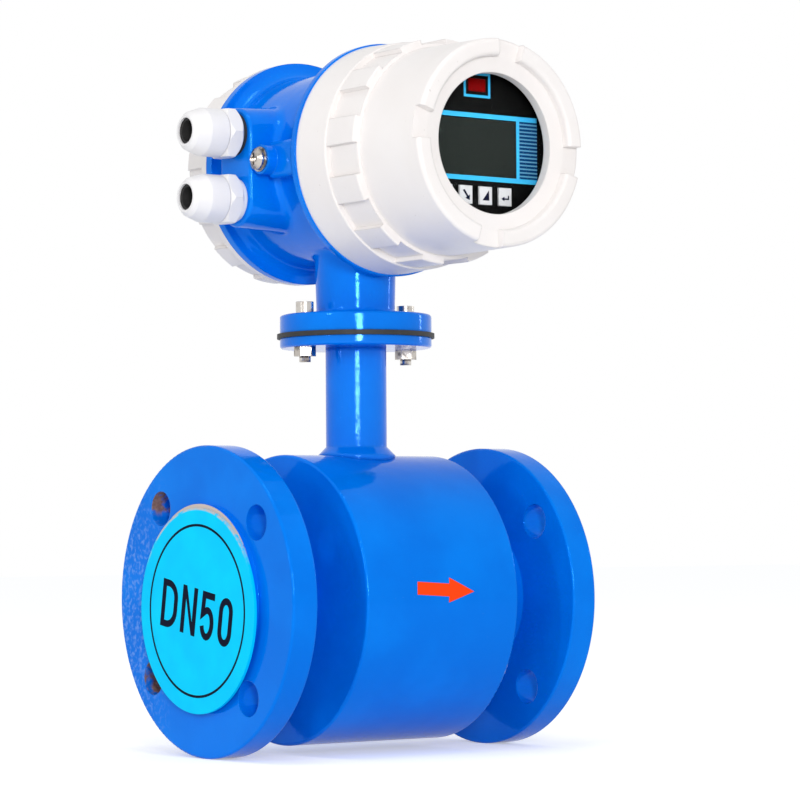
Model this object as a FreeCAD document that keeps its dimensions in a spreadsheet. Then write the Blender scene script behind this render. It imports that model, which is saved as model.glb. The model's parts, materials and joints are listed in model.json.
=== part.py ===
import FreeCAD, Part
import math
import os
import Sketcher

# Electromagnetic flow meter, nominal bore 50 mm, with a two-compartment round converter head.
#
# Frame: the origin is the centre of the flow bore, +X is the flow direction, the display
# looks along -Y and +Z runs up the neck to the head. All lengths are in millimetres.

DOC = FreeCAD.newDocument("FlowMeter")
SHEET = DOC.addObject("Spreadsheet::Sheet", "Sizes")
PARTS = []

# Driving dimensions: alias, value, meaning.
DIMENSIONS = (
    # measuring tube and process flanges
    ("bore_dia", 50, "flow bore, inside the liner"),
    ("liner_wall", 2, "liner thickness, also of its flared ends"),
    ("tube_wall", 3, "stainless measuring tube"),
    ("face_to_face", 200, "over the two raised faces"),
    ("flange_dia", 160, "process flange"),
    ("flange_rim", 15, "flange thickness without its raised face"),
    ("raised_dia", 100, "raised face"),
    ("raised_height", 3, "raised face"),
    ("liner_flare_dia", 88, "liner flared over the raised face"),
    ("bolt_circle", 125, "process bolts"),
    ("bolt_hole", 18, "process bolts"),
    ("bolt_count", 4, "process bolts"),
    ("bolt_clocking", 5, "degrees that the bolt holes are turned from straddling the neck"),
    ("weld_leg", 8, "weld fillet behind each flange"),
    ("flange_edge", 1.2, "broken edge of the rim"),
    ("disc_dia", 105, "protective disc on the inlet face"),
    ("disc_thick", 1.5, "protective disc"),
    ("disc_drop", 4.5, "protective disc below the pipe axis"),
    # coil housing and magnet
    ("can_dia", 151, "coil housing"),
    ("can_length", 97, "coil housing"),
    ("can_wall", 3, "rolled shell"),
    ("can_plate", 4, "end plates"),
    ("can_edge", 1.5, "rounded weld at the end plates"),
    ("pole_thick", 4, "pole shoe over the tube"),
    ("pole_angle", 84, "degrees that a pole shoe wraps"),
    ("pole_length", 50, "pole shoe along the pipe"),
    ("core_dia", 18, "pole core"),
    ("coil_dia", 46, "winding"),
    ("coil_height", 22, "winding"),
    ("yoke_thick", 3, "magnetic return band"),
    ("yoke_width", 40, "magnetic return band"),
    ("yoke_gap", 1.5, "yoke to the inside of the shell"),
    # electrodes
    ("electrode_dia", 6, "electrode stem"),
    ("electrode_head", 10, "electrode head in the liner"),
    ("electrode_length", 20, "from the bore outwards"),
    ("bush_wall", 2, "insulating bush round the stem"),
    ("bush_length", 9, "insulating bush"),
    ("electrode_nut_height", 3, "nut"),
    ("electrode_nut_dia", 11, "nut across corners"),
    # neck and its bolted joint
    ("neck_dia", 32.3, "neck pipe"),
    ("neck_wall", 3, "neck pipe"),
    ("neck_weld", 4.5, "weld at the foot of the neck"),
    ("neck_plate_dia", 80.5, "both plates of the neck joint"),
    ("lower_plate_thick", 5.2, "lower plate"),
    ("upper_plate_thick", 10, "upper plate"),
    ("plate_edge", 1.6, "rounded edge of both plates"),
    ("neck_joint_height", 137.4, "top of the lower plate above the pipe axis"),
    ("neck_gasket_thick", 2.5, "gasket"),
    ("neck_gasket_dia", 83.5, "gasket"),
    ("neck_bolt_circle", 66, "two bolts on the pipe's side"),
    ("neck_bolt_dia", 6, "bolt"),
    ("neck_head_dia", 9.4, "socket head of the bolt"),
    ("neck_head_height", 6, "socket head of the bolt"),
    ("neck_socket_flats", 5, "hexagon socket of the bolt"),
    ("neck_nut_flats", 10, "nut across flats"),
    ("neck_nut_height", 5, "nut"),
    ("neck_bolt_stub", 3, "bolt end below the nut"),
    ("bolt_play", 0.3, "radial play of bolts in their holes"),
    # converter housing
    ("neck_reach", 28.6, "cast neck between its plate and the drum"),
    ("cast_neck_dia", 41.6, "cast neck at its plate"),
    ("cast_neck_top_dia", 43.4, "cast neck where it enters the drum"),
    ("cast_neck_bore", 26, "wire way in the cast neck"),
    ("neck_fillet", 3, "cast neck to its plate"),
    ("wire_way_dia", 9, "hole from the cast neck to the front compartment"),
    ("board_play", 5, "circuit boards to the inside of the drum"),
    ("drum_wall", 5, "drum"),
    ("partition", 4, "wall between the two compartments"),
    ("front_rim_place", 31.6, "front face of the housing, from the neck axis"),
    ("front_rim_lip", 0.9, "front rim beyond the cover"),
    ("front_rim_thick", 3.6, "front rim"),
    ("rear_rim_place", 52, "rear face of the housing, from the neck axis"),
    ("rear_rim_lip", 0.1, "rear rim beyond the cover"),
    ("rear_rim_thick", 5, "rear rim"),
    ("front_rim_fillet", 4, "drum to the front rim"),
    ("rear_rim_fillet", 6.5, "drum to the rear rim"),
    ("spigot_step", 4.5, "spigots beyond the inside of the covers"),
    ("spigot_length", 10, "threaded spigots"),
    # gland boss and earthing screw
    ("boss_face", 66.5, "flat face of the gland boss, from the neck axis"),
    ("boss_place", 14.7, "glands behind the neck axis"),
    ("boss_rad", 14, "half width of the boss at its face"),
    ("boss_root_rad", 17, "half width of the boss inside the drum"),
    ("boss_fillet", 5, "blend of the boss into the drum"),
    ("boss_edge", 1.8, "rounded edge of the boss face"),
    ("saddle_fillet", 3, "blend of the cast neck into the drum"),
    ("gland_spacing", 34.4, "between the glands"),
    ("gland_drop", 3.6, "middle of the glands below the head axis"),
    ("gland_thread", 20, "gland thread"),
    ("earth_place", 6.4, "earthing screw in front of the neck axis"),
    ("earth_drop", 1.2, "earthing screw below the head axis"),
    ("earth_face", 65, "face of the earthing boss, from the neck axis"),
    ("earth_boss_dia", 15.5, "earthing boss"),
    ("earth_rib_face", 59.5, "rib from the earthing boss to the front rim"),
    ("earth_rib_height", 19, "rib"),
    ("earth_rib_edge", 2.5, "rounded edges of the rib"),
    ("earth_screw_dia", 6, "earthing screw"),
    ("earth_head_dia", 11.4, "pan head"),
    ("earth_head_height", 3.6, "pan head"),
    ("recess_width", 6.3, "cross recess of the pan head, end to end"),
    ("recess_slot", 1.6, "width of one arm of the cross"),
    ("recess_depth", 2, "cross recess"),
    ("earth_screw_length", 12, "shank"),
    ("earth_washer_thick", 1, "washer"),
    ("earth_washer_dia", 13, "washer"),
    # covers
    ("mouth_wall", 3.2, "cover round the groove of its seal"),
    ("ring_step", 0.9, "front end of the mouth ring above the lugs"),
    ("cover_ring", 24, "length of the front cover's mouth ring"),
    ("lug_height", 2.5, "grip lugs above the valleys"),
    ("valley_rise", 2, "valleys above the barrel"),
    ("lug_band", 22.9, "length of the front cover's grip band"),
    ("lug_count", 12, "grip lugs"),
    ("lug_angle", 14, "degrees that a lug covers"),
    ("cover_wall", 4.6, "barrel wall next to the grip band"),
    ("barrel_taper", 1.1, "radial taper of the barrel towards its face"),
    ("cover_length", 93.9, "front cover"),
    ("crown_depth", 5, "height of the four face segments"),
    ("crown_width", 8.8, "radial width of the face segments"),
    ("crown_gap", 18, "degrees of each gap between the segments"),
    ("crown_count", 4, "face segments"),
    ("crown_edge", 2.2, "rounded edge of the segments"),
    ("window_dia", 71.4, "clear window"),
    ("window_lip", 6, "lip in front of the glass"),
    ("cover_clocking", 8, "degrees that the tightened front cover stops past square"),
    ("shoulder_edge", 0.8, "rounded shoulders of the covers"),
    ("cover_play", 0.3, "radial play of a cover on its spigot"),
    ("rear_cover_ring", 5, "mouth ring of the rear cover"),
    ("rear_cover_length", 23, "rear cover"),
    ("rear_cover_end", 4, "end wall of the rear cover"),
    ("rear_cover_edge", 3, "rounded end of the rear cover"),
    ("seal_section", 2.8, "O-ring section"),
    ("seal_play", 0.3, "O-ring to its groove and spigot"),
    # window
    ("glass_thick", 6, "window glass"),
    ("glass_play", 0.5, "glass to the cover, radial"),
    ("window_gasket_thick", 1, "window gasket"),
    ("ring_thick", 4, "retaining ring"),
    ("ring_width", 4.1, "retaining ring, radial"),
    # electronics
    ("panel_gap", 2.5, "glass to the display panel"),
    ("panel_play", 1.2, "display panel to the retaining ring"),
    ("stud_margin", 0.7, "board studs to the skirt of the display bezel"),
    ("panel_plate", 2.5, "front wall of the display bezel"),
    ("panel_wall", 2, "skirt of the display bezel"),
    ("display_width", 53.4, "display opening"),
    ("display_height", 28.6, "display opening"),
    ("display_drop", 0.6, "display centre below the head axis"),
    ("module_depth", 8, "liquid crystal module behind the panel's back"),
    ("module_margin", 2.4, "module beyond its opening"),
    ("fit_gap", 0.2, "play of fixed inserts in the bezel"),
    ("lamp_width", 10.8, "infrared window"),
    ("lamp_height", 6.4, "infrared window"),
    ("lamp_rise", 31, "infrared window above the head axis"),
    ("key_width", 8, "key"),
    ("key_height", 9.2, "key"),
    ("key_pitch", 12.6, "key"),
    ("key_drop", 25, "keys below the head axis"),
    ("key_shift", 1.8, "row of keys to the left of the middle"),
    ("key_proud", 0.9, "key above the panel"),
    ("key_play", 0.3, "key in its opening"),
    ("key_flange", 0.9, "collar that keeps a key in"),
    ("collar_thick", 1, "collars of the keys and of the infrared window"),
    ("key_travel", 0.5, "key travel"),
    ("switch_height", 2, "switch behind each key"),
    ("board_thick", 1.6, "circuit boards"),
    ("chip_size", 16, "largest chip of the main board"),
    ("chip_thick", 2, "largest chip of the main board"),
    ("header_width", 30, "cable connector of the main board"),
    ("header_height", 6, "cable connector of the main board"),
    ("header_depth", 8, "cable connector of the main board"),
    ("header_drop", 22, "cable connector below the head axis"),
    ("stud_circle", 76, "board studs"),
    ("stud_angle", 35, "degrees of the studs above and below the horizontal"),
    ("pillar_dia", 6, "board pillars"),
    ("stud_dia", 2.5, "board studs"),
    ("stud_length", 5, "stud that passes the board above"),
    ("power_board_place", 12, "power board in front of the partition"),
    ("main_board_place", 44, "main board in front of the partition"),
    ("transformer_width", 34, "transformer"),
    ("transformer_height", 28, "transformer"),
    ("transformer_depth", 24, "transformer"),
    ("terminal_width", 60, "terminal block"),
    ("terminal_height", 18, "terminal block"),
    ("terminal_depth", 13, "terminal block"),
    ("terminal_count", 8, "terminals"),
    ("terminal_screw_dia", 4, "terminal screws"),
    # cable glands, measured outwards from the boss face
    ("gland_washer_thick", 2.7, "sealing washer"),
    ("gland_washer_dia", 22.6, "sealing washer"),
    ("gland_hex_flats", 25, "gland body across flats"),
    ("gland_hex_height", 8.3, "gland body hexagon"),
    ("gland_tail", 10, "threaded end inside the boss"),
    ("gland_sleeve_dia", 20.4, "outer thread for the dome nut"),
    ("gland_sleeve", 9, "outer thread for the dome nut"),
    ("gland_way", 15.2, "cable way through the body"),
    ("gland_nut_dia", 25.2, "dome nut"),
    ("gland_nut_length", 19.9, "dome nut"),
    ("gland_dome", 9, "domed end of the nut"),
    ("gland_mouth", 13.6, "opening of the nut"),
    ("gland_nut_wall", 3.4, "front wall of the nut round its mouth"),
    ("gland_lip", 1.6, "front lip of the nut, before the rubber"),
    ("gland_insert_bore", 11.2, "rubber insert"),
    ("gland_play", 0.3, "nut and insert to their neighbours"),
)


class Size:
    """A number together with the sheet expression that it comes from."""

    def __init__(self, value, text):
        self.value = float(value)
        self.text = text

    def joined(self, sign, other, value):
        return Size(value, "(%s %s %s)" % (self.text, sign, other.text))

    def __add__(self, other):
        other = sized(other)
        return self.joined("+", other, self.value + other.value)

    def __sub__(self, other):
        other = sized(other)
        return self.joined("-", other, self.value - other.value)

    def __mul__(self, other):
        other = sized(other)
        return self.joined("*", other, self.value * other.value)

    def __truediv__(self, other):
        other = sized(other)
        return self.joined("/", other, self.value / other.value)

    def __radd__(self, other):
        return sized(other) + self

    def __rsub__(self, other):
        return sized(other) - self

    def __rmul__(self, other):
        return sized(other) * self

    def __rtruediv__(self, other):
        return sized(other) / self

    def __neg__(self):
        return Size(-self.value, "(0 - %s)" % self.text)


def sized(number):
    """A plain number as a Size."""
    if isinstance(number, Size):
        return number
    return Size(number, "(%r)" % float(number))


def cosine(angle):
    angle = sized(angle)
    return Size(math.cos(math.radians(angle.value)), "cos(%s)" % angle.text)


def sine(angle):
    angle = sized(angle)
    return Size(math.sin(math.radians(angle.value)), "sin(%s)" % angle.text)


class Dimensions:
    """The sheet's cells by name: D.bore_dia is the Size held in the cell bore_dia."""

    def __init__(self, rows):
        for number, (alias, value, meaning) in enumerate(rows, start=1):
            SHEET.set("A%d" % number, alias)
            SHEET.set("B%d" % number, str(value))
            SHEET.set("C%d" % number, meaning)
            SHEET.setAlias("B%d" % number, alias)
            setattr(self, alias, Size(value, "Sizes." + alias))
        DOC.recompute()


D = Dimensions(DIMENSIONS)


# ---------------------------------------------------------------- building tools

def bind(thing, name, size):
    """Ties a property to the sheet."""
    thing.setExpression(name, sized(size).text)


def place(thing, at):
    for letter, value in zip("xyz", at):
        bind(thing, "Placement.Base." + letter, value)


def turn(thing, axis, degrees=0):
    """Lays an object's own Z axis along the named axis, or turns it about that axis."""
    rotations = {
        "X": FreeCAD.Rotation(FreeCAD.Vector(0, 1, 0), 90),
        "Y": FreeCAD.Rotation(FreeCAD.Vector(1, 0, 0), -90),
        "Z": FreeCAD.Rotation(),
    }
    own = FreeCAD.Rotation(FreeCAD.Vector(0, 0, 1), degrees)
    thing.Placement = FreeCAD.Placement(FreeCAD.Vector(), rotations[axis].multiply(own))


def named(thing, label):
    """Marks an object as one finished sub-part of the meter."""
    thing.Label = label
    PARTS.append(thing)
    return thing


def new_body(name):
    return DOC.addObject("PartDesign::Body", name)


def origin_feature(body, role):
    return [item for item in body.Origin.OriginFeatures if item.Role == role][0]


def new_sketch(body, role, name):
    sketch = body.newObject("Sketcher::SketchObject", name)
    sketch.AttachmentSupport = (origin_feature(body, role), [""])
    sketch.MapMode = "FlatFace"
    return sketch


def outline(sketch, points):
    """Closed outline whose corners are held at their distances from the origin."""
    points = [(sized(u), sized(v)) for u, v in points]
    first = sketch.GeometryCount
    count = len(points)
    corners = [FreeCAD.Vector(u.value, v.value, 0) for u, v in points]
    for index in range(count):
        sketch.addGeometry(Part.LineSegment(corners[index], corners[(index + 1) % count]))
    for index in range(count):
        after = first + (index + 1) % count
        sketch.addConstraint(Sketcher.Constraint("Coincident", first + index, 2, after, 1))
    for index, corner in enumerate(points):
        for kind, distance in zip(("DistanceX", "DistanceY"), corner):
            rule = Sketcher.Constraint(kind, -1, 1, first + index, 1, distance.value)
            bind(sketch, "Constraints[%d]" % sketch.addConstraint(rule), distance)


def round_hole(sketch, u, v, radius):
    """Circle whose centre is held at its distances from the origin."""
    u, v, radius = sized(u), sized(v), sized(radius)
    centre = FreeCAD.Vector(u.value, v.value, 0)
    circle = sketch.addGeometry(Part.Circle(centre, FreeCAD.Vector(0, 0, 1), radius.value))
    rules = (
        (Sketcher.Constraint("DistanceX", -1, 1, circle, 3, u.value), u),
        (Sketcher.Constraint("DistanceY", -1, 1, circle, 3, v.value), v),
        (Sketcher.Constraint("Radius", circle, radius.value), radius),
    )
    for rule, size in rules:
        bind(sketch, "Constraints[%d]" % sketch.addConstraint(rule), size)


def revolve(body, axis, points, kind="PartDesign::Revolution", angle=360, offset=0):
    """Turns a profile about X, Y or Z. Its points are (along the axis, radius)."""
    role, side = {"X": ("XY_Plane", "H_Axis"), "Y": ("XY_Plane", "V_Axis"),
                  "Z": ("XZ_Plane", "V_Axis")}[axis]
    sketch = new_sketch(body, role, body.Name + "_profile")
    if side == "V_Axis":
        points = [(radius, along) for along, radius in points]
    outline(sketch, points)
    if sized(offset).value:
        sketch.AttachmentOffset = FreeCAD.Placement(
            FreeCAD.Vector(), FreeCAD.Rotation(FreeCAD.Vector(0, 1, 0), sized(offset).value))
        bind(sketch, "AttachmentOffset.Rotation.Angle", offset)
    feature = body.newObject(kind, body.Name + "_turned")
    feature.Profile = sketch
    feature.ReferenceAxis = (sketch, [side])
    bind(feature, "Angle", angle)
    feature.Midplane = sized(angle).value < 360
    DOC.recompute()
    return feature


def repeat(body, feature, role, count):
    """Repeats a feature round one of the body's own axes."""
    pattern = body.newObject("PartDesign::PolarPattern", feature.Name + "_pattern")
    pattern.Originals = [feature]
    pattern.Axis = (origin_feature(body, role), [""])
    pattern.Angle = 360
    bind(pattern, "Occurrences", count)
    body.Tip = pattern
    DOC.recompute()
    return pattern


def soften(body, rings, size, axis="Y"):
    """Rounds the circular edges that lie at the given (place along the axis, radius)."""
    base = body.Tip
    letter = axis.lower()
    names = []
    for number, edge in enumerate(base.Shape.Edges, start=1):
        if not isinstance(edge.Curve, Part.Circle):
            continue
        for along, radius in rings:
            near = abs(getattr(edge.Curve.Center, letter) - sized(along).value) < 0.01
            if near and abs(edge.Curve.Radius - sized(radius).value) < 0.01:
                names.append("Edge%d" % number)
    if not names:
        raise ValueError("no edge to round on " + body.Name)
    fillet = body.newObject("PartDesign::Fillet", body.Name + "_edge")
    fillet.Base = (base, names)
    bind(fillet, "Radius", size)
    DOC.recompute()
    return fillet


def turned(name, axis, points):
    """A body that is one turned profile."""
    body = new_body(name)
    revolve(body, axis, points)
    return body


def pocket(body, role, circles):
    """Cuts round holes right through a body, drawn on one of its origin planes."""
    before = body.Shape.Volume
    sketch = new_sketch(body, role, body.Name + "_holes")
    for u, v, radius in circles:
        round_hole(sketch, u, v, radius)
    feature = body.newObject("PartDesign::Pocket", body.Name + "_pocket")
    feature.Profile = sketch
    feature.Type = 1
    feature.Midplane = True
    DOC.recompute()
    if body.Shape.Volume >= before:
        raise ValueError("a pocket cut nothing in " + body.Name)
    return feature


def cylinder(name, axis, radius, length, at=(0, 0, 0)):
    thing = DOC.addObject("Part::Cylinder", name)
    turn(thing, axis)
    bind(thing, "Radius", radius)
    bind(thing, "Height", length)
    place(thing, at)
    return thing


def box(name, low, size):
    """Box from its low corner and its three sizes."""
    thing = DOC.addObject("Part::Box", name)
    for side, value in zip(("Length", "Width", "Height"), size):
        bind(thing, side, value)
    place(thing, low)
    return thing


def hexagon(name, axis, flats, length, at, degrees=0):
    thing = DOC.addObject("Part::Prism", name)
    turn(thing, axis, degrees)
    bind(thing, "Circumradius", sized(flats) / (2 * cosine(30)))
    bind(thing, "Height", length)
    place(thing, at)
    return thing


def fused(name, shapes):
    thing = DOC.addObject("Part::MultiFuse", name)
    thing.Shapes = shapes
    return thing


def grouped(name, shapes):
    """Separate like pieces kept as one sub-part."""
    thing = DOC.addObject("Part::Compound", name)
    thing.Links = shapes
    return thing


def cut(name, base, tools):
    """Takes the tools away from the base, and makes sure that they reach it."""
    thing = DOC.addObject("Part::Cut", name)
    thing.Base = base
    thing.Tool = tools[0] if len(tools) == 1 else fused(name + "_tools", tools)
    DOC.recompute()
    if thing.Shape.Volume >= base.Shape.Volume:
        raise ValueError("nothing was cut from " + name)
    return thing


def common(name, first, second):
    thing = DOC.addObject("Part::Common", name)
    thing.Base = first
    thing.Tool = second
    return thing


# ---------------------------------------------------------------- values shared by several pieces

OVERCUT = 1  # how far a cutting tool runs out of what it cuts
OVERLAP = 1  # how deep fused solids reach into each other

LINER_RAD = D.bore_dia / 2 + D.liner_wall
TUBE_RAD = LINER_RAD + D.tube_wall
HALF_LENGTH = D.face_to_face / 2
RIM_OUTER = HALF_LENGTH - D.raised_height
RIM_INNER = RIM_OUTER - D.flange_rim
TUBE_END = HALF_LENGTH - D.liner_wall
CAN_RAD = D.can_dia / 2
CAN_INNER_RAD = CAN_RAD - D.can_wall
CAN_END = D.can_length / 2
PLATE_RAD = D.neck_plate_dia / 2
PLATE_LOW = D.neck_joint_height - D.lower_plate_thick
GASKET_TOP = D.neck_joint_height + D.neck_gasket_thick
PLATE_TOP = GASKET_TOP + D.upper_plate_thick
BOLT_RAD = D.neck_bolt_dia / 2
FRONT_FACE = -D.front_rim_place

# The head grows outwards from the studs that carry its boards.
BOARD_RAD = D.stud_circle / 2 + D.pillar_dia / 2
DRUM_INNER_RAD = BOARD_RAD + D.board_play
DRUM_RAD = DRUM_INNER_RAD + D.drum_wall
HEAD_HEIGHT = PLATE_TOP + D.neck_reach + DRUM_RAD
PANEL_RAD = BOARD_RAD + D.stud_margin + D.panel_wall
RING_INNER_RAD = PANEL_RAD + D.panel_play
COVER_BORE_RAD = RING_INNER_RAD + D.ring_width
SPIGOT_RAD = COVER_BORE_RAD + D.spigot_step
THREAD_RAD = SPIGOT_RAD + D.cover_play
BARREL_RAD = COVER_BORE_RAD + D.cover_wall
NOSE_RAD = BARREL_RAD - D.barrel_taper
VALLEY_RAD = BARREL_RAD + D.valley_rise
LUG_RAD = VALLEY_RAD + D.lug_height
RING_END_RAD = LUG_RAD + D.ring_step
SEAL_RAD = D.seal_section / 2
SEAL_CENTRE_RAD = SPIGOT_RAD + D.seal_play + SEAL_RAD
GROOVE_RAD = SEAL_CENTRE_RAD + SEAL_RAD + D.seal_play
MOUTH_RAD = GROOVE_RAD + D.mouth_wall
FRONT_RIM_RAD = MOUTH_RAD + D.front_rim_lip
REAR_RIM_RAD = MOUTH_RAD + D.rear_rim_lip
GROOVE_WIDTH = D.seal_section + 2 * D.seal_play
PARTITION_FRONT = -D.partition / 2
COVER_FACE = FRONT_FACE - D.cover_length
CROWN_FLOOR = COVER_FACE + D.crown_depth
LIP_BACK = CROWN_FLOOR + D.window_lip
GLASS_FRONT = LIP_BACK + D.window_gasket_thick
GLASS_BACK = GLASS_FRONT + D.glass_thick
PANEL_FACE = GLASS_BACK + D.panel_gap
PANEL_BACK = PANEL_FACE + D.panel_plate
MODULE_BACK = PANEL_BACK + D.module_depth
DISPLAY_BOARD_BACK = MODULE_BACK + D.board_thick
POWER_BOARD_BACK = PARTITION_FRONT - D.power_board_place
MAIN_BOARD_BACK = PARTITION_FRONT - D.main_board_place
GLAND_MIDDLE = HEAD_HEIGHT - D.gland_drop
GLANDS = (
    ("upper", GLAND_MIDDLE + D.gland_spacing / 2),
    ("lower", GLAND_MIDDLE - D.gland_spacing / 2),
)
STUDS = [
    (side * D.stud_circle / 2 * cosine(D.stud_angle), end * D.stud_circle / 2 * sine(D.stud_angle))
    for side in (-1, 1) for end in (-1, 1)
]


# ---------------------------------------------------------------- sensor

def process_flange(name, sense):
    """Plate flange with raised face, its weld fillet behind it and four bolt holes."""
    radius = D.flange_dia / 2
    seat_rad = D.liner_flare_dia / 2
    body = turned(name, "X", (
        (sense * (RIM_INNER - D.weld_leg), TUBE_RAD),
        (sense * TUBE_END, TUBE_RAD),
        (sense * TUBE_END, seat_rad),
        (sense * HALF_LENGTH, seat_rad),
        (sense * HALF_LENGTH, D.raised_dia / 2),
        (sense * RIM_OUTER, D.raised_dia / 2),
        (sense * RIM_OUTER, radius),
        (sense * RIM_INNER, radius),
        (sense * RIM_INNER, TUBE_RAD + D.weld_leg),
    ))
    first = 180 / D.bolt_count - D.bolt_clocking
    holes = []
    for index in range(int(D.bolt_count.value)):
        angle = first + index * 360 / D.bolt_count
        holes.append((D.bolt_circle / 2 * sine(angle), D.bolt_circle / 2 * cosine(angle),
                      D.bolt_hole / 2))
    pocket(body, "YZ_Plane", holes)
    soften(body, ((sense * RIM_OUTER, radius), (sense * RIM_INNER, radius)), D.flange_edge, "X")
    return named(body, name)


def electrode_holes(name, radius):
    """One rod across the tube at the height of the electrodes."""
    return cylinder(name, "Y", radius, 4 * TUBE_RAD, (0, -2 * TUBE_RAD, 0))


def measuring_tube():
    tube = turned("tube_blank", "X", (
        (-TUBE_END, LINER_RAD),
        (TUBE_END, LINER_RAD),
        (TUBE_END, TUBE_RAD),
        (-TUBE_END, TUBE_RAD),
    ))
    hole = electrode_holes("tube_electrode_hole", D.electrode_dia / 2 + D.bush_wall)
    named(cut("measuring_tube", tube, [hole]), "measuring_tube")


def tube_liner():
    """Liner with an end flared over each raised face and recesses for the electrode heads."""
    seat_rad = D.liner_flare_dia / 2
    bore_rad = D.bore_dia / 2
    liner = turned("liner_blank", "X", (
        (-HALF_LENGTH, bore_rad),
        (HALF_LENGTH, bore_rad),
        (HALF_LENGTH, seat_rad),
        (TUBE_END, seat_rad),
        (TUBE_END, LINER_RAD),
        (-TUBE_END, LINER_RAD),
        (-TUBE_END, seat_rad),
        (-HALF_LENGTH, seat_rad),
    ))
    hole = electrode_holes("liner_electrode_hole", D.electrode_head / 2)
    named(cut("tube_liner", liner, [hole]), "tube_liner")


def inlet_disc():
    disc = turned("inlet_disc", "X", (
        (-HALF_LENGTH - D.disc_thick, 0),
        (-HALF_LENGTH, 0),
        (-HALF_LENGTH, D.disc_dia / 2),
        (-HALF_LENGTH - D.disc_thick, D.disc_dia / 2),
    ))
    place(disc, (0, 0, -D.disc_drop))
    named(disc, "inlet_disc")


def coil_housing():
    """Rolled shell between two end plates, with a hole for the wires under the neck."""
    shell_end = CAN_END - D.can_plate
    shell = turned("shell_blank", "X", (
        (-shell_end, CAN_INNER_RAD),
        (shell_end, CAN_INNER_RAD),
        (shell_end, CAN_RAD),
        (-shell_end, CAN_RAD),
    ))
    hole = cylinder("shell_wire_hole", "Z", D.neck_dia / 2 - D.neck_wall, CAN_RAD)
    named(cut("coil_housing_shell", shell, [hole]), "coil_housing_shell")
    for name, sense in (("inlet_end_plate", -1), ("outlet_end_plate", 1)):
        plate = turned(name, "X", (
            (sense * shell_end, TUBE_RAD),
            (sense * CAN_END, TUBE_RAD),
            (sense * CAN_END, CAN_RAD),
            (sense * shell_end, CAN_RAD),
        ))
        soften(plate, ((sense * CAN_END, CAN_RAD),), D.can_edge, "X")
        named(plate, name)


def magnet():
    """Two pole shoes with cores and windings inside one return band."""
    shoe_rad = TUBE_RAD + D.pole_thick
    yoke_rad = CAN_INNER_RAD - D.yoke_gap
    yoke_inner = yoke_rad - D.yoke_thick
    band = turned("magnet_yoke", "X", (
        (-D.yoke_width / 2, yoke_inner),
        (D.yoke_width / 2, yoke_inner),
        (D.yoke_width / 2, yoke_rad),
        (-D.yoke_width / 2, yoke_rad),
    ))
    named(band, "magnet_yoke")
    for name, sense in (("upper", 1), ("lower", -1)):
        wrap = new_body(name + "_shoe_wrap")
        sketch = new_sketch(wrap, "YZ_Plane", name + "_shoe_sketch")
        lean = D.pole_angle / 2
        outline(sketch, (
            (0, 0),
            (-2 * shoe_rad * sine(lean), sense * 2 * shoe_rad * cosine(lean)),
            (2 * shoe_rad * sine(lean), sense * 2 * shoe_rad * cosine(lean)),
        ))
        wedge = wrap.newObject("PartDesign::Pad", name + "_shoe_wedge")
        wedge.Profile = sketch
        wedge.Midplane = True
        bind(wedge, "Length", D.pole_length)
        ring = cylinder(name + "_shoe_ring", "X", shoe_rad, D.pole_length, (-D.pole_length / 2, 0, 0))
        shoe = common(name + "_shoe", ring, wrap)
        low = TUBE_RAD + D.pole_thick / 2
        base = low if sense > 0 else -yoke_inner
        core = cylinder(name + "_core", "Z", D.core_dia / 2, yoke_inner - low, (0, 0, base))
        joined = fused(name + "_pole_solid", [shoe, core])
        bore = cylinder(name + "_shoe_bore", "X", TUBE_RAD, 2 * D.pole_length, (-D.pole_length, 0, 0))
        outside = cylinder(name + "_pole_stock", "X", yoke_inner, D.can_length, (-CAN_END, 0, 0))
        kept = common(name + "_pole_kept", joined, outside)
        named(cut(name + "_pole_shoe", kept, [bore]), name + "_pole_shoe")
        foot = shoe_rad + D.fit_gap if sense > 0 else -shoe_rad - D.fit_gap - D.coil_height
        winding = turned(name + "_coil", "Z", (
            (foot, D.core_dia / 2),
            (foot + D.coil_height, D.core_dia / 2),
            (foot + D.coil_height, D.coil_dia / 2),
            (foot, D.coil_dia / 2),
        ))
        named(winding, name + "_coil")


def electrodes():
    """Two electrodes with heads flush in the liner, each in a bush and under a nut."""
    bore_rad = D.bore_dia / 2
    bush_rad = D.electrode_dia / 2 + D.bush_wall
    bushes = []
    nuts = []
    for name, sense in (("front", -1), ("rear", 1)):
        pin = turned(name + "_electrode", "Y", (
            (sense * bore_rad, 0),
            (sense * (bore_rad + D.electrode_length), 0),
            (sense * (bore_rad + D.electrode_length), D.electrode_dia / 2),
            (sense * LINER_RAD, D.electrode_dia / 2),
            (sense * LINER_RAD, D.electrode_head / 2),
            (sense * bore_rad, D.electrode_head / 2),
        ))
        named(pin, name + "_electrode")
        end = sense * (LINER_RAD + D.bush_length)
        bushes.append(turned(name + "_bush", "Y", (
            (sense * LINER_RAD, D.electrode_dia / 2),
            (end, D.electrode_dia / 2),
            (end, bush_rad),
            (sense * LINER_RAD, bush_rad),
        )))
        nuts.append(turned(name + "_nut", "Y", (
            (end, D.electrode_dia / 2),
            (end + sense * D.electrode_nut_height, D.electrode_dia / 2),
            (end + sense * D.electrode_nut_height, D.electrode_nut_dia / 2),
            (end, D.electrode_nut_dia / 2),
        )))
    named(grouped("electrode_bushes", bushes), "electrode_bushes")
    named(grouped("electrode_nuts", nuts), "electrode_nuts")


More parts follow.
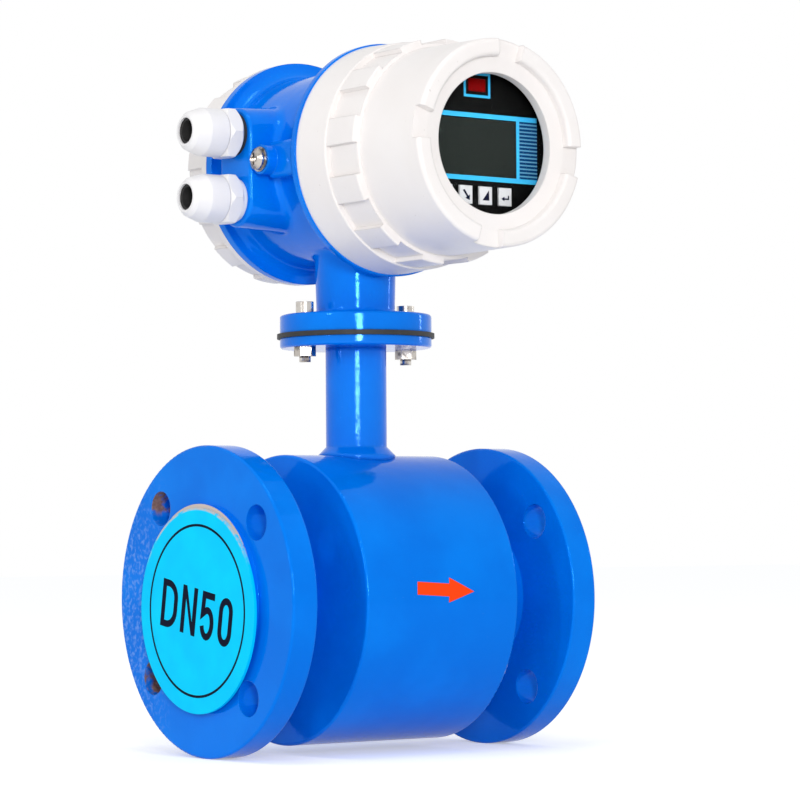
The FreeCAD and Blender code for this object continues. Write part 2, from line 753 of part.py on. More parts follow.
def neck():
    """Neck pipe welded to the coil housing, with its plate, the gasket and two bolts."""
    pipe_rad = D.neck_dia / 2
    way_rad = pipe_rad - D.neck_wall
    foot = CAN_RAD - D.neck_weld
    pipe = turned("neck_blank", "Z", (
        (foot, way_rad),
        (PLATE_LOW, way_rad),
        (PLATE_LOW, pipe_rad),
        (CAN_RAD + D.neck_weld, pipe_rad),
        (CAN_RAD, pipe_rad + D.neck_weld),
        (foot, pipe_rad + D.neck_weld),
    ))
    curb = cylinder("neck_foot_curb", "X", CAN_RAD, D.can_length, (-CAN_END, 0, 0))
    named(cut("neck_pipe", pipe, [curb]), "neck_pipe")

    bolt_places = [(side * D.neck_bolt_circle / 2, 0) for side in (-1, 1)]
    holes = [(u, v, BOLT_RAD + D.bolt_play) for u, v in bolt_places]
    plate = turned("neck_plate", "Z", (
        (PLATE_LOW, way_rad),
        (D.neck_joint_height, way_rad),
        (D.neck_joint_height, PLATE_RAD),
        (PLATE_LOW, PLATE_RAD),
    ))
    pocket(plate, "XY_Plane", holes)
    soften(plate, ((PLATE_LOW, PLATE_RAD),), D.plate_edge, "Z")
    named(plate, "neck_plate")

    gasket = turned("neck_gasket", "Z", (
        (D.neck_joint_height, way_rad),
        (GASKET_TOP, way_rad),
        (GASKET_TOP, D.neck_gasket_dia / 2),
        (D.neck_joint_height, D.neck_gasket_dia / 2),
    ))
    pocket(gasket, "XY_Plane", holes)
    named(gasket, "neck_gasket")

    bolts = []
    nuts = []
    stub_end = PLATE_LOW - D.neck_nut_height - D.neck_bolt_stub
    for index, (u, v) in enumerate(bolt_places, start=1):
        head = cylinder("bolt_head_%d" % index, "Z", D.neck_head_dia / 2, D.neck_head_height,
                        (u, v, PLATE_TOP))
        socket = hexagon("bolt_socket_%d" % index, "Z", D.neck_socket_flats, D.neck_head_height,
                         (u, v, PLATE_TOP + D.neck_head_height / 2), 30)
        shank = cylinder("bolt_shank_%d" % index, "Z", BOLT_RAD, PLATE_TOP - stub_end, (u, v, stub_end))
        blank = fused("bolt_blank_%d" % index, [head, shank])
        bolts.append(cut("neck_bolt_%d" % index, blank, [socket]))
        blank = hexagon("nut_blank_%d" % index, "Z", D.neck_nut_flats, D.neck_nut_height,
                        (u, v, PLATE_LOW - D.neck_nut_height), 30)
        hole = cylinder("nut_hole_%d" % index, "Z", BOLT_RAD, 2 * D.neck_nut_height,
                        (u, v, PLATE_LOW - 1.5 * D.neck_nut_height))
        nuts.append(cut("neck_nut_%d" % index, blank, [hole]))
    named(grouped("neck_bolts", bolts), "neck_bolts")
    named(grouped("neck_nuts", nuts), "neck_nuts")


# ---------------------------------------------------------------- converter housing

def gland_boss():
    """Drafted obround boss: one loft from a wide root in the drum to a narrow flat face."""
    rings = []
    for name, x_place, radius in (("root", -DRUM_RAD / 2.5, D.boss_root_rad),
                                  ("face", -D.boss_face, D.boss_rad)):
        body = new_body("boss_" + name)
        sketch = new_sketch(body, "YZ_Plane", "boss_" + name + "_ring")
        sketch.AttachmentOffset = FreeCAD.Placement(
            FreeCAD.Vector(0, 0, x_place.value), FreeCAD.Rotation())
        bind(sketch, "AttachmentOffset.Base.z", x_place)
        obround(sketch, D.boss_place, GLAND_MIDDLE, radius, D.gland_spacing)
        rings.append(sketch)
    loft = DOC.addObject("Part::Loft", "boss_loft")
    loft.Sections = rings
    loft.Solid = True
    loft.Ruled = True
    DOC.recompute()
    return loft


def obround(sketch, u, v, radius, spacing):
    """Two half circles, one above the other, joined by tangent lines."""
    low = v - spacing / 2
    high = v + spacing / 2
    up = FreeCAD.Vector(0, 0, 1)
    upper = sketch.addGeometry(Part.ArcOfCircle(Part.Circle(
        FreeCAD.Vector(u.value, high.value, 0), up, radius.value), 0, math.pi))
    left = sketch.addGeometry(Part.LineSegment(
        FreeCAD.Vector(u.value - radius.value, high.value, 0),
        FreeCAD.Vector(u.value - radius.value, low.value, 0)))
    lower = sketch.addGeometry(Part.ArcOfCircle(Part.Circle(
        FreeCAD.Vector(u.value, low.value, 0), up, radius.value), math.pi, 2 * math.pi))
    right = sketch.addGeometry(Part.LineSegment(
        FreeCAD.Vector(u.value + radius.value, low.value, 0),
        FreeCAD.Vector(u.value + radius.value, high.value, 0)))
    for first, end, second, start in ((upper, 2, left, 1), (left, 2, lower, 1),
                                      (lower, 2, right, 1), (right, 2, upper, 1)):
        sketch.addConstraint(Sketcher.Constraint("Tangent", first, end, second, start))
    rules = (
        (Sketcher.Constraint("DistanceX", -1, 1, upper, 3, u.value), u),
        (Sketcher.Constraint("DistanceY", -1, 1, upper, 3, high.value), high),
        (Sketcher.Constraint("DistanceX", -1, 1, lower, 3, u.value), u),
        (Sketcher.Constraint("DistanceY", -1, 1, lower, 3, low.value), low),
        (Sketcher.Constraint("Radius", lower, radius.value), radius),
    )
    for rule, size in rules:
        bind(sketch, "Constraints[%d]" % sketch.addConstraint(rule), size)


def drum():
    """Turned outside of the casting: drum, both rims and both threaded spigots."""
    rim_front = FRONT_FACE + D.front_rim_thick
    rear_front = D.rear_rim_place - D.rear_rim_thick
    body = turned("drum_outside", "Y", (
        (FRONT_FACE - D.spigot_length, 0),
        (FRONT_FACE - D.spigot_length, SPIGOT_RAD),
        (FRONT_FACE, SPIGOT_RAD),
        (FRONT_FACE, FRONT_RIM_RAD),
        (rim_front, FRONT_RIM_RAD),
        (rim_front, DRUM_RAD),
        (rear_front, DRUM_RAD),
        (rear_front, REAR_RIM_RAD),
        (D.rear_rim_place, REAR_RIM_RAD),
        (D.rear_rim_place, SPIGOT_RAD),
        (D.rear_rim_place + D.spigot_length, SPIGOT_RAD),
        (D.rear_rim_place + D.spigot_length, 0),
    ))
    soften(body, ((rim_front, DRUM_RAD),), D.front_rim_fillet)
    soften(body, ((rear_front, DRUM_RAD),), D.rear_rim_fillet)
    place(body, (0, 0, HEAD_HEIGHT))
    return body


def cast_neck():
    body = turned("cast_neck", "Z", (
        (GASKET_TOP, 0),
        (GASKET_TOP, PLATE_RAD),
        (PLATE_TOP, PLATE_RAD),
        (PLATE_TOP, D.cast_neck_dia / 2),
        (HEAD_HEIGHT - DRUM_INNER_RAD, D.cast_neck_top_dia / 2),
        (HEAD_HEIGHT - DRUM_INNER_RAD, 0),
    ))
    soften(body, ((PLATE_TOP, PLATE_RAD),), D.plate_edge, "Z")
    soften(body, ((PLATE_TOP, D.cast_neck_dia / 2),), D.neck_fillet, "Z")
    return body


def blended(name, base, size, chosen):
    """Rounds the edges of a fused form for which the test holds."""
    DOC.recompute()
    thing = DOC.addObject("Part::Fillet", name)
    thing.Base = base
    thing.Edges = [(number, size.value, size.value)
                   for number, edge in enumerate(base.Shape.Edges, start=1) if chosen(edge)]
    if not thing.Edges:
        raise ValueError("no edge to round on " + base.Name)
    return thing


def cast_body():
    """Drum, neck and gland boss, with the blends of a casting where they meet."""
    rough = fused("cast_body_rough", [drum(), cast_neck(), gland_boss()])
    neck_front = D.cast_neck_top_dia / 2 + OVERCUT

    def at_boss_root(edge):
        box = edge.BoundBox
        straight = isinstance(edge.Curve, (Part.Line, Part.Circle))
        return not straight and box.XMin > -DRUM_RAD.value - OVERCUT and box.XMax < -neck_front.value

    def at_boss_face(edge):
        return abs(edge.BoundBox.XMax + D.boss_face.value) < 0.01

    def at_neck_top(edge):
        box = edge.BoundBox
        straight = isinstance(edge.Curve, (Part.Line, Part.Circle))
        low = HEAD_HEIGHT - DRUM_RAD - OVERCUT
        return not straight and box.ZMin > low.value and box.XMax < neck_front.value and box.XMax > 0

    rooted = blended("boss_blend", rough, D.boss_fillet, at_boss_root)
    edged = blended("boss_edges", rooted, D.boss_edge, at_boss_face)
    return blended("neck_blend", edged, D.saddle_fillet, at_neck_top)


def lies_on_rib_face(edge):
    """True for the long edges of the earthing rib's face."""
    box = edge.BoundBox
    return abs(box.XMax + D.earth_rib_face.value) < 0.01 and box.YLength > 1


def converter_housing():
    """One casting: drum, neck with its plate, gland boss and earthing boss, hollowed out."""
    earth_height = HEAD_HEIGHT - D.earth_drop
    root = DRUM_RAD - 2 * D.drum_wall
    earth_boss = cylinder("earth_boss", "X", D.earth_boss_dia / 2, D.earth_face - root,
                          (-D.earth_face, -D.earth_place, earth_height))
    rib_length = D.front_rim_place - D.front_rim_thick / 2 - D.earth_place
    earth_rib = box("earth_rib",
                    (-D.earth_rib_face, -D.earth_place - rib_length, earth_height - D.earth_rib_height / 2),
                    (D.earth_rib_face - root, rib_length, D.earth_rib_height))
    soft_rib = blended("earth_rib_soft", earth_rib, D.earth_rib_edge, lies_on_rib_face)
    stock = fused("housing_stock", [cast_body(), earth_boss, soft_rib])

    front_mouth = FRONT_FACE - D.spigot_length
    rear_mouth = D.rear_rim_place + D.spigot_length
    tools = [
        cylinder("front_compartment", "Y", DRUM_INNER_RAD, PARTITION_FRONT - front_mouth + OVERCUT,
                 (0, front_mouth - OVERCUT, HEAD_HEIGHT)),
        cylinder("rear_compartment", "Y", DRUM_INNER_RAD, rear_mouth - D.partition / 2 + OVERCUT,
                 (0, D.partition / 2, HEAD_HEIGHT)),
        cylinder("neck_way", "Z", D.cast_neck_bore / 2,
                 HEAD_HEIGHT - DRUM_RAD - GASKET_TOP + OVERCUT, (0, 0, GASKET_TOP - OVERCUT)),
        cylinder("wire_way", "Z", D.wire_way_dia / 2, DRUM_RAD,
                 (0, PARTITION_FRONT - D.wire_way_dia / 2,
                  HEAD_HEIGHT - DRUM_RAD - D.drum_wall)),
        cylinder("earth_hole", "X", D.earth_screw_dia / 2, D.earth_screw_length + OVERCUT,
                 (-D.earth_face - OVERCUT, -D.earth_place, earth_height)),
    ]
    for name, height in GLANDS:
        tools.append(cylinder(name + "_gland_hole", "X", D.gland_thread / 2, D.boss_face,
                              (-D.boss_face - OVERCUT, D.boss_place, height)))
    for index, side in enumerate((-1, 1), start=1):
        tools.append(cylinder("plate_hole_%d" % index, "Z", BOLT_RAD + D.bolt_play,
                              D.upper_plate_thick + D.neck_head_height,
                              (side * D.neck_bolt_circle / 2, 0, GASKET_TOP - OVERCUT)))
    for index, (u, v) in enumerate(STUDS, start=1):
        tools.append(cylinder("stud_hole_%d" % index, "Y", D.stud_dia / 2, D.partition,
                              (u, PARTITION_FRONT - OVERCUT, HEAD_HEIGHT + v)))
    named(cut("converter_housing", stock, tools), "converter_housing")


# ---------------------------------------------------------------- covers

def carve_lugs(body, low, high):
    """Cuts the valleys between the grip lugs: one groove, repeated round the cover."""
    step = 360 / D.lug_count
    valley = revolve(body, "Y", (
        (low, VALLEY_RAD),
        (high, VALLEY_RAD),
        (high, MOUTH_RAD),
        (low, MOUTH_RAD),
    ), "PartDesign::Groove", step - D.lug_angle, step / 2)
    repeat(body, valley, "Y_Axis", D.lug_count)


def front_cover():
    """Window cover: mouth ring, grip lugs, tapered barrel and a face of raised segments."""
    ring_end = FRONT_FACE - D.cover_ring
    band_end = ring_end - D.lug_band
    thread_end = FRONT_FACE - D.spigot_length - D.cover_play
    crown_inner = NOSE_RAD - D.crown_width
    lip_rad = D.window_dia / 2
    cover = new_body("front_cover")
    revolve(cover, "Y", (
        (FRONT_FACE, GROOVE_RAD),
        (FRONT_FACE, MOUTH_RAD),
        (ring_end, RING_END_RAD),
        (ring_end, LUG_RAD),
        (band_end, LUG_RAD),
        (band_end, BARREL_RAD),
        (COVER_FACE, NOSE_RAD),
        (COVER_FACE, crown_inner),
        (CROWN_FLOOR, crown_inner),
        (CROWN_FLOOR + D.shoulder_edge, lip_rad),
        (LIP_BACK, lip_rad),
        (LIP_BACK, COVER_BORE_RAD),
        (thread_end, COVER_BORE_RAD),
        (thread_end, THREAD_RAD),
        (FRONT_FACE - GROOVE_WIDTH, THREAD_RAD),
        (FRONT_FACE - GROOVE_WIDTH, GROOVE_RAD),
    ))
    soften(cover, ((COVER_FACE, NOSE_RAD), (COVER_FACE, crown_inner)), D.crown_edge)
    soften(cover, ((ring_end, RING_END_RAD), (band_end, LUG_RAD)), D.shoulder_edge)
    carve_lugs(cover, ring_end, band_end)
    gap = revolve(cover, "Y", (
        (COVER_FACE - OVERCUT, crown_inner - D.shoulder_edge),
        (CROWN_FLOOR, crown_inner - D.shoulder_edge),
        (CROWN_FLOOR, NOSE_RAD + D.shoulder_edge),
        (COVER_FACE - OVERCUT, NOSE_RAD + D.shoulder_edge),
    ), "PartDesign::Groove", D.crown_gap)
    repeat(cover, gap, "Y_Axis", D.crown_count)
    cover.Placement = FreeCAD.Placement(
        FreeCAD.Vector(), FreeCAD.Rotation(FreeCAD.Vector(0, 1, 0), D.cover_clocking.value))
    bind(cover, "Placement.Rotation.Angle", D.cover_clocking)
    place(cover, (0, 0, HEAD_HEIGHT))
    named(cover, "front_cover")


def rear_cover():
    """Blind cover with the same mouth and grip lugs."""
    mouth = D.rear_rim_place
    ring_end = mouth + D.rear_cover_ring
    end = mouth + D.rear_cover_length
    thread_end = mouth + D.spigot_length + D.cover_play
    inside_end = end - D.rear_cover_end
    cover = new_body("rear_cover")
    revolve(cover, "Y", (
        (mouth, GROOVE_RAD),
        (mouth, MOUTH_RAD),
        (ring_end, MOUTH_RAD),
        (ring_end, LUG_RAD),
        (end, LUG_RAD),
        (end, 0),
        (inside_end, 0),
        (inside_end, COVER_BORE_RAD),
        (thread_end, COVER_BORE_RAD),
        (thread_end, THREAD_RAD),
        (mouth + GROOVE_WIDTH, THREAD_RAD),
        (mouth + GROOVE_WIDTH, GROOVE_RAD),
    ))
    soften(cover, ((ring_end, MOUTH_RAD),), D.shoulder_edge)
    soften(cover, ((end, LUG_RAD),), D.rear_cover_edge)
    carve_lugs(cover, ring_end, end + OVERCUT)
    cover.Placement = FreeCAD.Placement(
        FreeCAD.Vector(), FreeCAD.Rotation(FreeCAD.Vector(0, 1, 0), D.cover_clocking.value))
    bind(cover, "Placement.Rotation.Angle", D.cover_clocking)
    place(cover, (0, 0, HEAD_HEIGHT))
    named(cover, "rear_cover")


def cover_seals():
    for name, middle in (("front_cover_seal", FRONT_FACE - GROOVE_WIDTH / 2),
                         ("rear_cover_seal", D.rear_rim_place + GROOVE_WIDTH / 2)):
        seal = DOC.addObject("Part::Torus", name)
        turn(seal, "Y")
        bind(seal, "Radius1", SEAL_CENTRE_RAD)
        bind(seal, "Radius2", SEAL_RAD)
        place(seal, (0, middle, HEAD_HEIGHT))
        named(seal, name)


def window():
    """Glass with its gasket in front and its retaining ring behind."""
    glass_rad = COVER_BORE_RAD - D.glass_play
    pieces = (
        ("window_gasket", LIP_BACK, D.window_gasket_thick, D.window_dia / 2 + D.shoulder_edge, glass_rad),
        ("window_retaining_ring", GLASS_BACK, D.ring_thick, RING_INNER_RAD, COVER_BORE_RAD),
    )
    for name, front, thick, inner, outer in pieces:
        ring = turned(name, "Y", (
            (front, inner),
            (front + thick, inner),
            (front + thick, outer),
            (front, outer),
        ))
        place(ring, (0, 0, HEAD_HEIGHT))
        named(ring, name)
    glass = cylinder("window_glass", "Y", glass_rad, D.glass_thick, (0, GLASS_FRONT, HEAD_HEIGHT))
    named(glass, "window_glass")


# ---------------------------------------------------------------- electronics

def middle_box(name, width, height, front, depth, u=0, v=0):
    """Box centred at u, v on the head axis, whose front face lies at the given place."""
    low = (sized(u) - sized(width) / 2, front, HEAD_HEIGHT + v - sized(height) / 2)
    return box(name, low, (width, depth, height))


def key_places():
    return [
        (name, (index - 1.5) * D.key_pitch - D.key_shift)
        for index, name in enumerate(("key_back", "key_down", "key_up", "key_enter"))
    ]


def display_bezel():
    """Moulded cup: front wall with its openings, skirt, and four bosses for the studs."""
    inner_rad = PANEL_RAD - D.panel_wall
    cup = turned("bezel_cup", "Y", (
        (PANEL_FACE, 0),
        (PANEL_FACE, PANEL_RAD),
        (DISPLAY_BOARD_BACK, PANEL_RAD),
        (DISPLAY_BOARD_BACK, inner_rad),
        (PANEL_BACK, inner_rad),
        (PANEL_BACK, 0),
    ))
    soften(cup, ((PANEL_FACE, PANEL_RAD),), D.shoulder_edge)
    place(cup, (0, 0, HEAD_HEIGHT))
    bosses = []
    holes = []
    for index, (u, v) in enumerate(STUDS, start=1):
        bosses.append(cylinder("bezel_boss_%d" % index, "Y", D.pillar_dia / 2, D.module_depth + OVERLAP,
                               (u, PANEL_BACK - OVERLAP, HEAD_HEIGHT + v)))
        holes.append(cylinder("bezel_stud_hole_%d" % index, "Y", D.stud_dia / 2, D.stud_length,
                              (u, MODULE_BACK + D.board_thick - D.stud_length, HEAD_HEIGHT + v)))
    solid = fused("bezel_solid", [cup] + bosses)
    front = PANEL_FACE - 1
    depth = D.panel_plate + 2
    holes.append(middle_box("display_opening", D.display_width + 2 * D.fit_gap,
                            D.display_height + 2 * D.fit_gap, front, depth, 0, -D.display_drop))
    holes.append(middle_box("lamp_opening", D.lamp_width + 2 * D.fit_gap,
                            D.lamp_height + 2 * D.fit_gap, front, depth, 0, D.lamp_rise))
    for name, u in key_places():
        holes.append(middle_box(name + "_opening", D.key_width + 2 * D.key_play,
                                D.key_height + 2 * D.key_play, front, depth, u, -D.key_drop))
    named(cut("display_bezel", solid, holes), "display_bezel")


def lcd_module():
    face = middle_box("lcd_face", D.display_width, D.display_height, PANEL_FACE + D.fit_gap,
                      D.panel_plate, 0, -D.display_drop)
    back = middle_box("lcd_back", D.display_width + 2 * D.module_margin,
                      D.display_height + 2 * D.module_margin, PANEL_BACK, D.module_depth,
                      0, -D.display_drop)
    named(fused("lcd_module", [face, back]), "lcd_module")


def infrared_window():
    face = middle_box("lamp_face", D.lamp_width, D.lamp_height, PANEL_FACE, D.panel_plate + D.collar_thick,
                      0, D.lamp_rise)
    collar = middle_box("lamp_collar", D.lamp_width + 2 * D.key_flange,
                        D.lamp_height + 2 * D.key_flange, PANEL_BACK, D.collar_thick,
                        0, D.lamp_rise)
    named(fused("infrared_window", [face, collar]), "infrared_window")


def keys():
    """Four keys, each kept in by a collar behind the panel, over a switch on the board."""
    for name, u in key_places():
        cap = middle_box(name + "_cap", D.key_width, D.key_height, PANEL_FACE - D.key_proud,
                         D.key_proud + D.panel_plate + D.key_play, u, -D.key_drop)
        collar_front = PANEL_BACK + D.key_play
        collar = middle_box(name + "_collar", D.key_width + 2 * D.key_flange,
                            D.key_height + 2 * D.key_flange, collar_front, D.collar_thick,
                            u, -D.key_drop)
        stem_front = collar_front + D.collar_thick / 2
        stem = middle_box(name + "_stem", D.key_width / 2, D.key_height / 2, stem_front,
                          MODULE_BACK - D.switch_height - D.key_travel - D.key_play - stem_front,
                          u, -D.key_drop)
        named(fused(name, [cap, collar, stem]), name)


def circuit_board(name, back, soldered_parts):
    """Round board with the four stud holes and whatever is soldered to it."""
    board = cylinder(name + "_blank", "Y", BOARD_RAD, D.board_thick,
                     (0, back - D.board_thick, HEAD_HEIGHT))
    tools = [
        cylinder("%s_stud_hole_%d" % (name, index), "Y", D.stud_dia / 2 + D.fit_gap,
                 3 * D.board_thick, (u, back - 2 * D.board_thick, HEAD_HEIGHT + v))
        for index, (u, v) in enumerate(STUDS, start=1)
    ]
    drilled = cut(name + "_drilled", board, tools)
    named(fused(name, [drilled] + soldered_parts) if soldered_parts else drilled, name)


def boards():
    display_front = MODULE_BACK
    switches = [
        middle_box(name + "_switch", D.key_width / 2, D.key_height / 2,
                   display_front - D.switch_height, D.switch_height + D.board_thick / 2,
                   u, -D.key_drop)
        for name, u in key_places()
    ]
    circuit_board("display_board", DISPLAY_BOARD_BACK, switches)
    main_front = MAIN_BOARD_BACK - D.board_thick
    soldered = D.board_thick / 2
    chip = middle_box("main_chip", D.chip_size, D.chip_size, main_front - D.chip_thick,
                      D.chip_thick + soldered, D.chip_size / 2, D.chip_size / 3)
    header = middle_box("main_header", D.header_width, D.header_height, main_front - D.header_depth,
                        D.header_depth + soldered, 0, -D.header_drop)
    circuit_board("main_board", MAIN_BOARD_BACK, [chip, header])
    circuit_board("power_board", POWER_BOARD_BACK, [])
    transformer = middle_box("power_transformer", D.transformer_width, D.transformer_height,
                             POWER_BOARD_BACK - D.board_thick - D.transformer_depth,
                             D.transformer_depth)
    named(transformer, "power_transformer")


def board_pillars():
    """Male-female pillars: each stud passes a board and enters the pillar beyond it."""
    levels = (
        ("power_pillars", PARTITION_FRONT, POWER_BOARD_BACK),
        ("main_pillars", POWER_BOARD_BACK - D.board_thick, MAIN_BOARD_BACK),
        ("display_pillars", MAIN_BOARD_BACK - D.board_thick, DISPLAY_BOARD_BACK),
    )
    for name, foot, top in levels:
        pillars = []
        for index, (u, v) in enumerate(STUDS, start=1):
            label = "%s_%d" % (name, index)
            height = HEAD_HEIGHT + v
            column = cylinder(label + "_column", "Y", D.pillar_dia / 2, foot - top, (u, top, height))
            stud = cylinder(label + "_stud", "Y", D.stud_dia / 2, D.stud_length + OVERLAP,
                            (u, top - D.stud_length, height))
            solid = fused(label + "_solid", [column, stud])
            if name == "power_pillars":
                pillars.append(solid)
                continue
            hole = cylinder(label + "_hole", "Y", D.stud_dia / 2, D.stud_length,
                            (u, foot - D.stud_length + D.board_thick, height))
            pillars.append(cut(label, solid, [hole]))
        named(grouped(name, pillars), name)


def terminals():
    """Terminal block on the partition in the rear compartment, with its clamp screws."""
    depth = D.terminal_depth
    block = middle_box("terminal_blank", D.terminal_width, D.terminal_height, D.partition / 2, depth)
    pitch = D.terminal_width / D.terminal_count
    wells = []
    screws = []
    radius = D.terminal_screw_dia / 2
    for index in range(int(D.terminal_count.value)):
        u = (index + 0.5) * pitch - D.terminal_width / 2
        for row, side in (("a", 1), ("b", -1)):
            label = "terminal_%s%d" % (row, index + 1)
            v = side * D.terminal_height / 4
            wells.append(cylinder(label + "_well", "Y", radius, depth,
                                  (u, D.partition / 2 + depth / 2, HEAD_HEIGHT + v)))
            screws.append(cylinder(label + "_screw", "Y", radius, depth / 4,
                                   (u, D.partition / 2 + depth / 2, HEAD_HEIGHT + v)))
    named(cut("terminal_block", block, wells), "terminal_block")
    named(grouped("terminal_screws", screws), "terminal_screws")


# ---------------------------------------------------------------- glands and earthing screw

def gland_place(outwards):
    """Place on the pipe's direction of what lies that far outside the boss face."""
    return -D.boss_face - outwards


def gland(name, height):
    """Cable gland: washer, body with hexagon, rubber insert and dome nut."""
    at = (0, D.boss_place, height)
    thread_rad = D.gland_thread / 2
    way_rad = D.gland_way / 2
    hex_start = D.gland_washer_thick
    hex_end = hex_start + D.gland_hex_height
    sleeve_end = hex_end + D.gland_sleeve
    sleeve_rad = D.gland_sleeve_dia / 2
    nut_start = hex_end + D.gland_play
    nut_end = nut_start + D.gland_nut_length
    chamber_end = nut_end - D.gland_lip
    nut_rad = D.gland_nut_dia / 2
    mouth_rad = D.gland_mouth / 2

    washer = turned(name + "_gland_washer", "X", (
        (gland_place(0), thread_rad),
        (gland_place(D.gland_washer_thick), thread_rad),
        (gland_place(D.gland_washer_thick), D.gland_washer_dia / 2),
        (gland_place(0), D.gland_washer_dia / 2),
    ))
    place(washer, at)
    named(washer, name + "_gland_washer")

    core = turned(name + "_gland_core", "X", (
        (gland_place(-D.gland_tail), way_rad),
        (gland_place(sleeve_end), way_rad),
        (gland_place(sleeve_end), sleeve_rad),
        (gland_place(hex_start), sleeve_rad),
        (gland_place(hex_start), thread_rad),
        (gland_place(-D.gland_tail), thread_rad),
    ))
    place(core, at)
    hexagonal = hexagon(name + "_gland_hexagon", "X", D.gland_hex_flats, D.gland_hex_height,
                        (gland_place(hex_end), D.boss_place, height), 30)
    hole = cylinder(name + "_gland_hexagon_way", "X", way_rad, 2 * D.gland_hex_height,
                    (gland_place(hex_end + D.gland_hex_height / 2), D.boss_place, height))
    ring = cut(name + "_gland_ring", hexagonal, [hole])
    chamfer = D.gland_hex_height / 4
    corner = D.gland_hex_flats / (2 * cosine(30))
    turning = turned(name + "_gland_turning", "X", (
        (gland_place(hex_start), 0),
        (gland_place(hex_end), 0),
        (gland_place(hex_end), corner - chamfer),
        (gland_place(hex_end - chamfer), corner),
        (gland_place(hex_start + chamfer), corner),
        (gland_place(hex_start), corner - chamfer),
    ))
    place(turning, at)
    chamfered = common(name + "_gland_chamfered", ring, turning)
    named(fused(name + "_gland_body", [core, chamfered]), name + "_gland_body")

    insert_start = sleeve_end + D.gland_play
    insert = turned(name + "_gland_insert", "X", (
        (gland_place(insert_start), D.gland_insert_bore / 2),
        (gland_place(chamber_end), D.gland_insert_bore / 2),
        (gland_place(chamber_end), mouth_rad + (sleeve_rad - mouth_rad) / 2),
        (gland_place(insert_start), sleeve_rad),
    ))
    place(insert, at)
    named(insert, name + "_gland_insert")

    inner_rad = sleeve_rad + D.gland_play
    cone_start = insert_start
    dome_start = nut_end - D.gland_dome
    nut = new_body(name + "_gland_nut")
    revolve(nut, "X", (
        (gland_place(nut_start), inner_rad),
        (gland_place(cone_start), inner_rad),
        (gland_place(chamber_end), mouth_rad + (sleeve_rad - mouth_rad) / 2 + D.gland_play),
        (gland_place(chamber_end + D.gland_play), mouth_rad),
        (gland_place(nut_end), mouth_rad),
        (gland_place(nut_end), mouth_rad + D.gland_nut_wall / 3),
        (gland_place(nut_end - D.gland_dome / 4), mouth_rad + D.gland_nut_wall),
        (gland_place(dome_start), nut_rad),
        (gland_place(nut_start), nut_rad),
    ))
    place(nut, at)
    named(nut, name + "_gland_nut")


def earthing_screw():
    height = HEAD_HEIGHT - D.earth_drop
    at = (0, -D.earth_place, height)
    seat = -D.earth_face - D.earth_washer_thick
    washer = turned("earth_washer", "X", (
        (-D.earth_face, D.earth_screw_dia / 2),
        (seat, D.earth_screw_dia / 2),
        (seat, D.earth_washer_dia / 2),
        (-D.earth_face, D.earth_washer_dia / 2),
    ))
    place(washer, at)
    named(washer, "earth_washer")
    crown = D.earth_head_dia / 4
    screw = turned("earth_screw_blank", "X", (
        (seat - D.earth_head_height, 0),
        (-D.earth_face + D.earth_screw_length, 0),
        (-D.earth_face + D.earth_screw_length, D.earth_screw_dia / 2),
        (seat, D.earth_screw_dia / 2),
        (seat, D.earth_head_dia / 2),
        (seat - D.earth_head_height / 2, D.earth_head_dia / 2),
        (seat - D.earth_head_height, crown),
    ))
    place(screw, at)
    slot = D.recess_slot
    reach = D.recess_width
    depth = D.recess_depth + OVERCUT
    low = seat - D.earth_head_height - OVERCUT
    recess = [
        box("recess_upright", (low, -D.earth_place - slot / 2, height - reach / 2), (depth, slot, reach)),
        box("recess_level", (low, -D.earth_place - reach / 2, height - slot / 2), (depth, reach, slot)),
    ]
    named(cut("earth_screw", screw, recess), "earth_screw")


# ---------------------------------------------------------------- the meter

def check_document():
    """Every object has to be sound, and every sub-part one or more valid solids."""
    DOC.recompute()
    for thing in DOC.Objects:
        if "Invalid" in thing.State or "Error" in thing.State:
            raise ValueError("failed object: %s %s" % (thing.Label, thing.State))
    for part in PARTS:
        shape = part.Shape
        if shape.isNull() or not shape.isValid() or not shape.Solids:
            raise ValueError("bad shape: " + part.Label)


def write_parts():
    os.makedirs("parts", exist_ok=True)
    for part in PARTS:
        part.Shape.exportStep("parts/%s.step" % part.Label)


process_flange("inlet_flange", -1)
process_flange("outlet_flange", 1)
measuring_tube()
tube_liner()
inlet_disc()
coil_housing()
magnet()
electrodes()
neck()
converter_housing()
front_cover()
rear_cover()
cover_seals()
window()
display_bezel()
lcd_module()
infrared_window()
keys()
boards()
board_pillars()
terminals()
for gland_name, gland_height in GLANDS:
    gland(gland_name, gland_height)
earthing_screw()
check_document()
write_parts()
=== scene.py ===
import json
import math

import bmesh
import bpy
from mathutils import Matrix, Vector


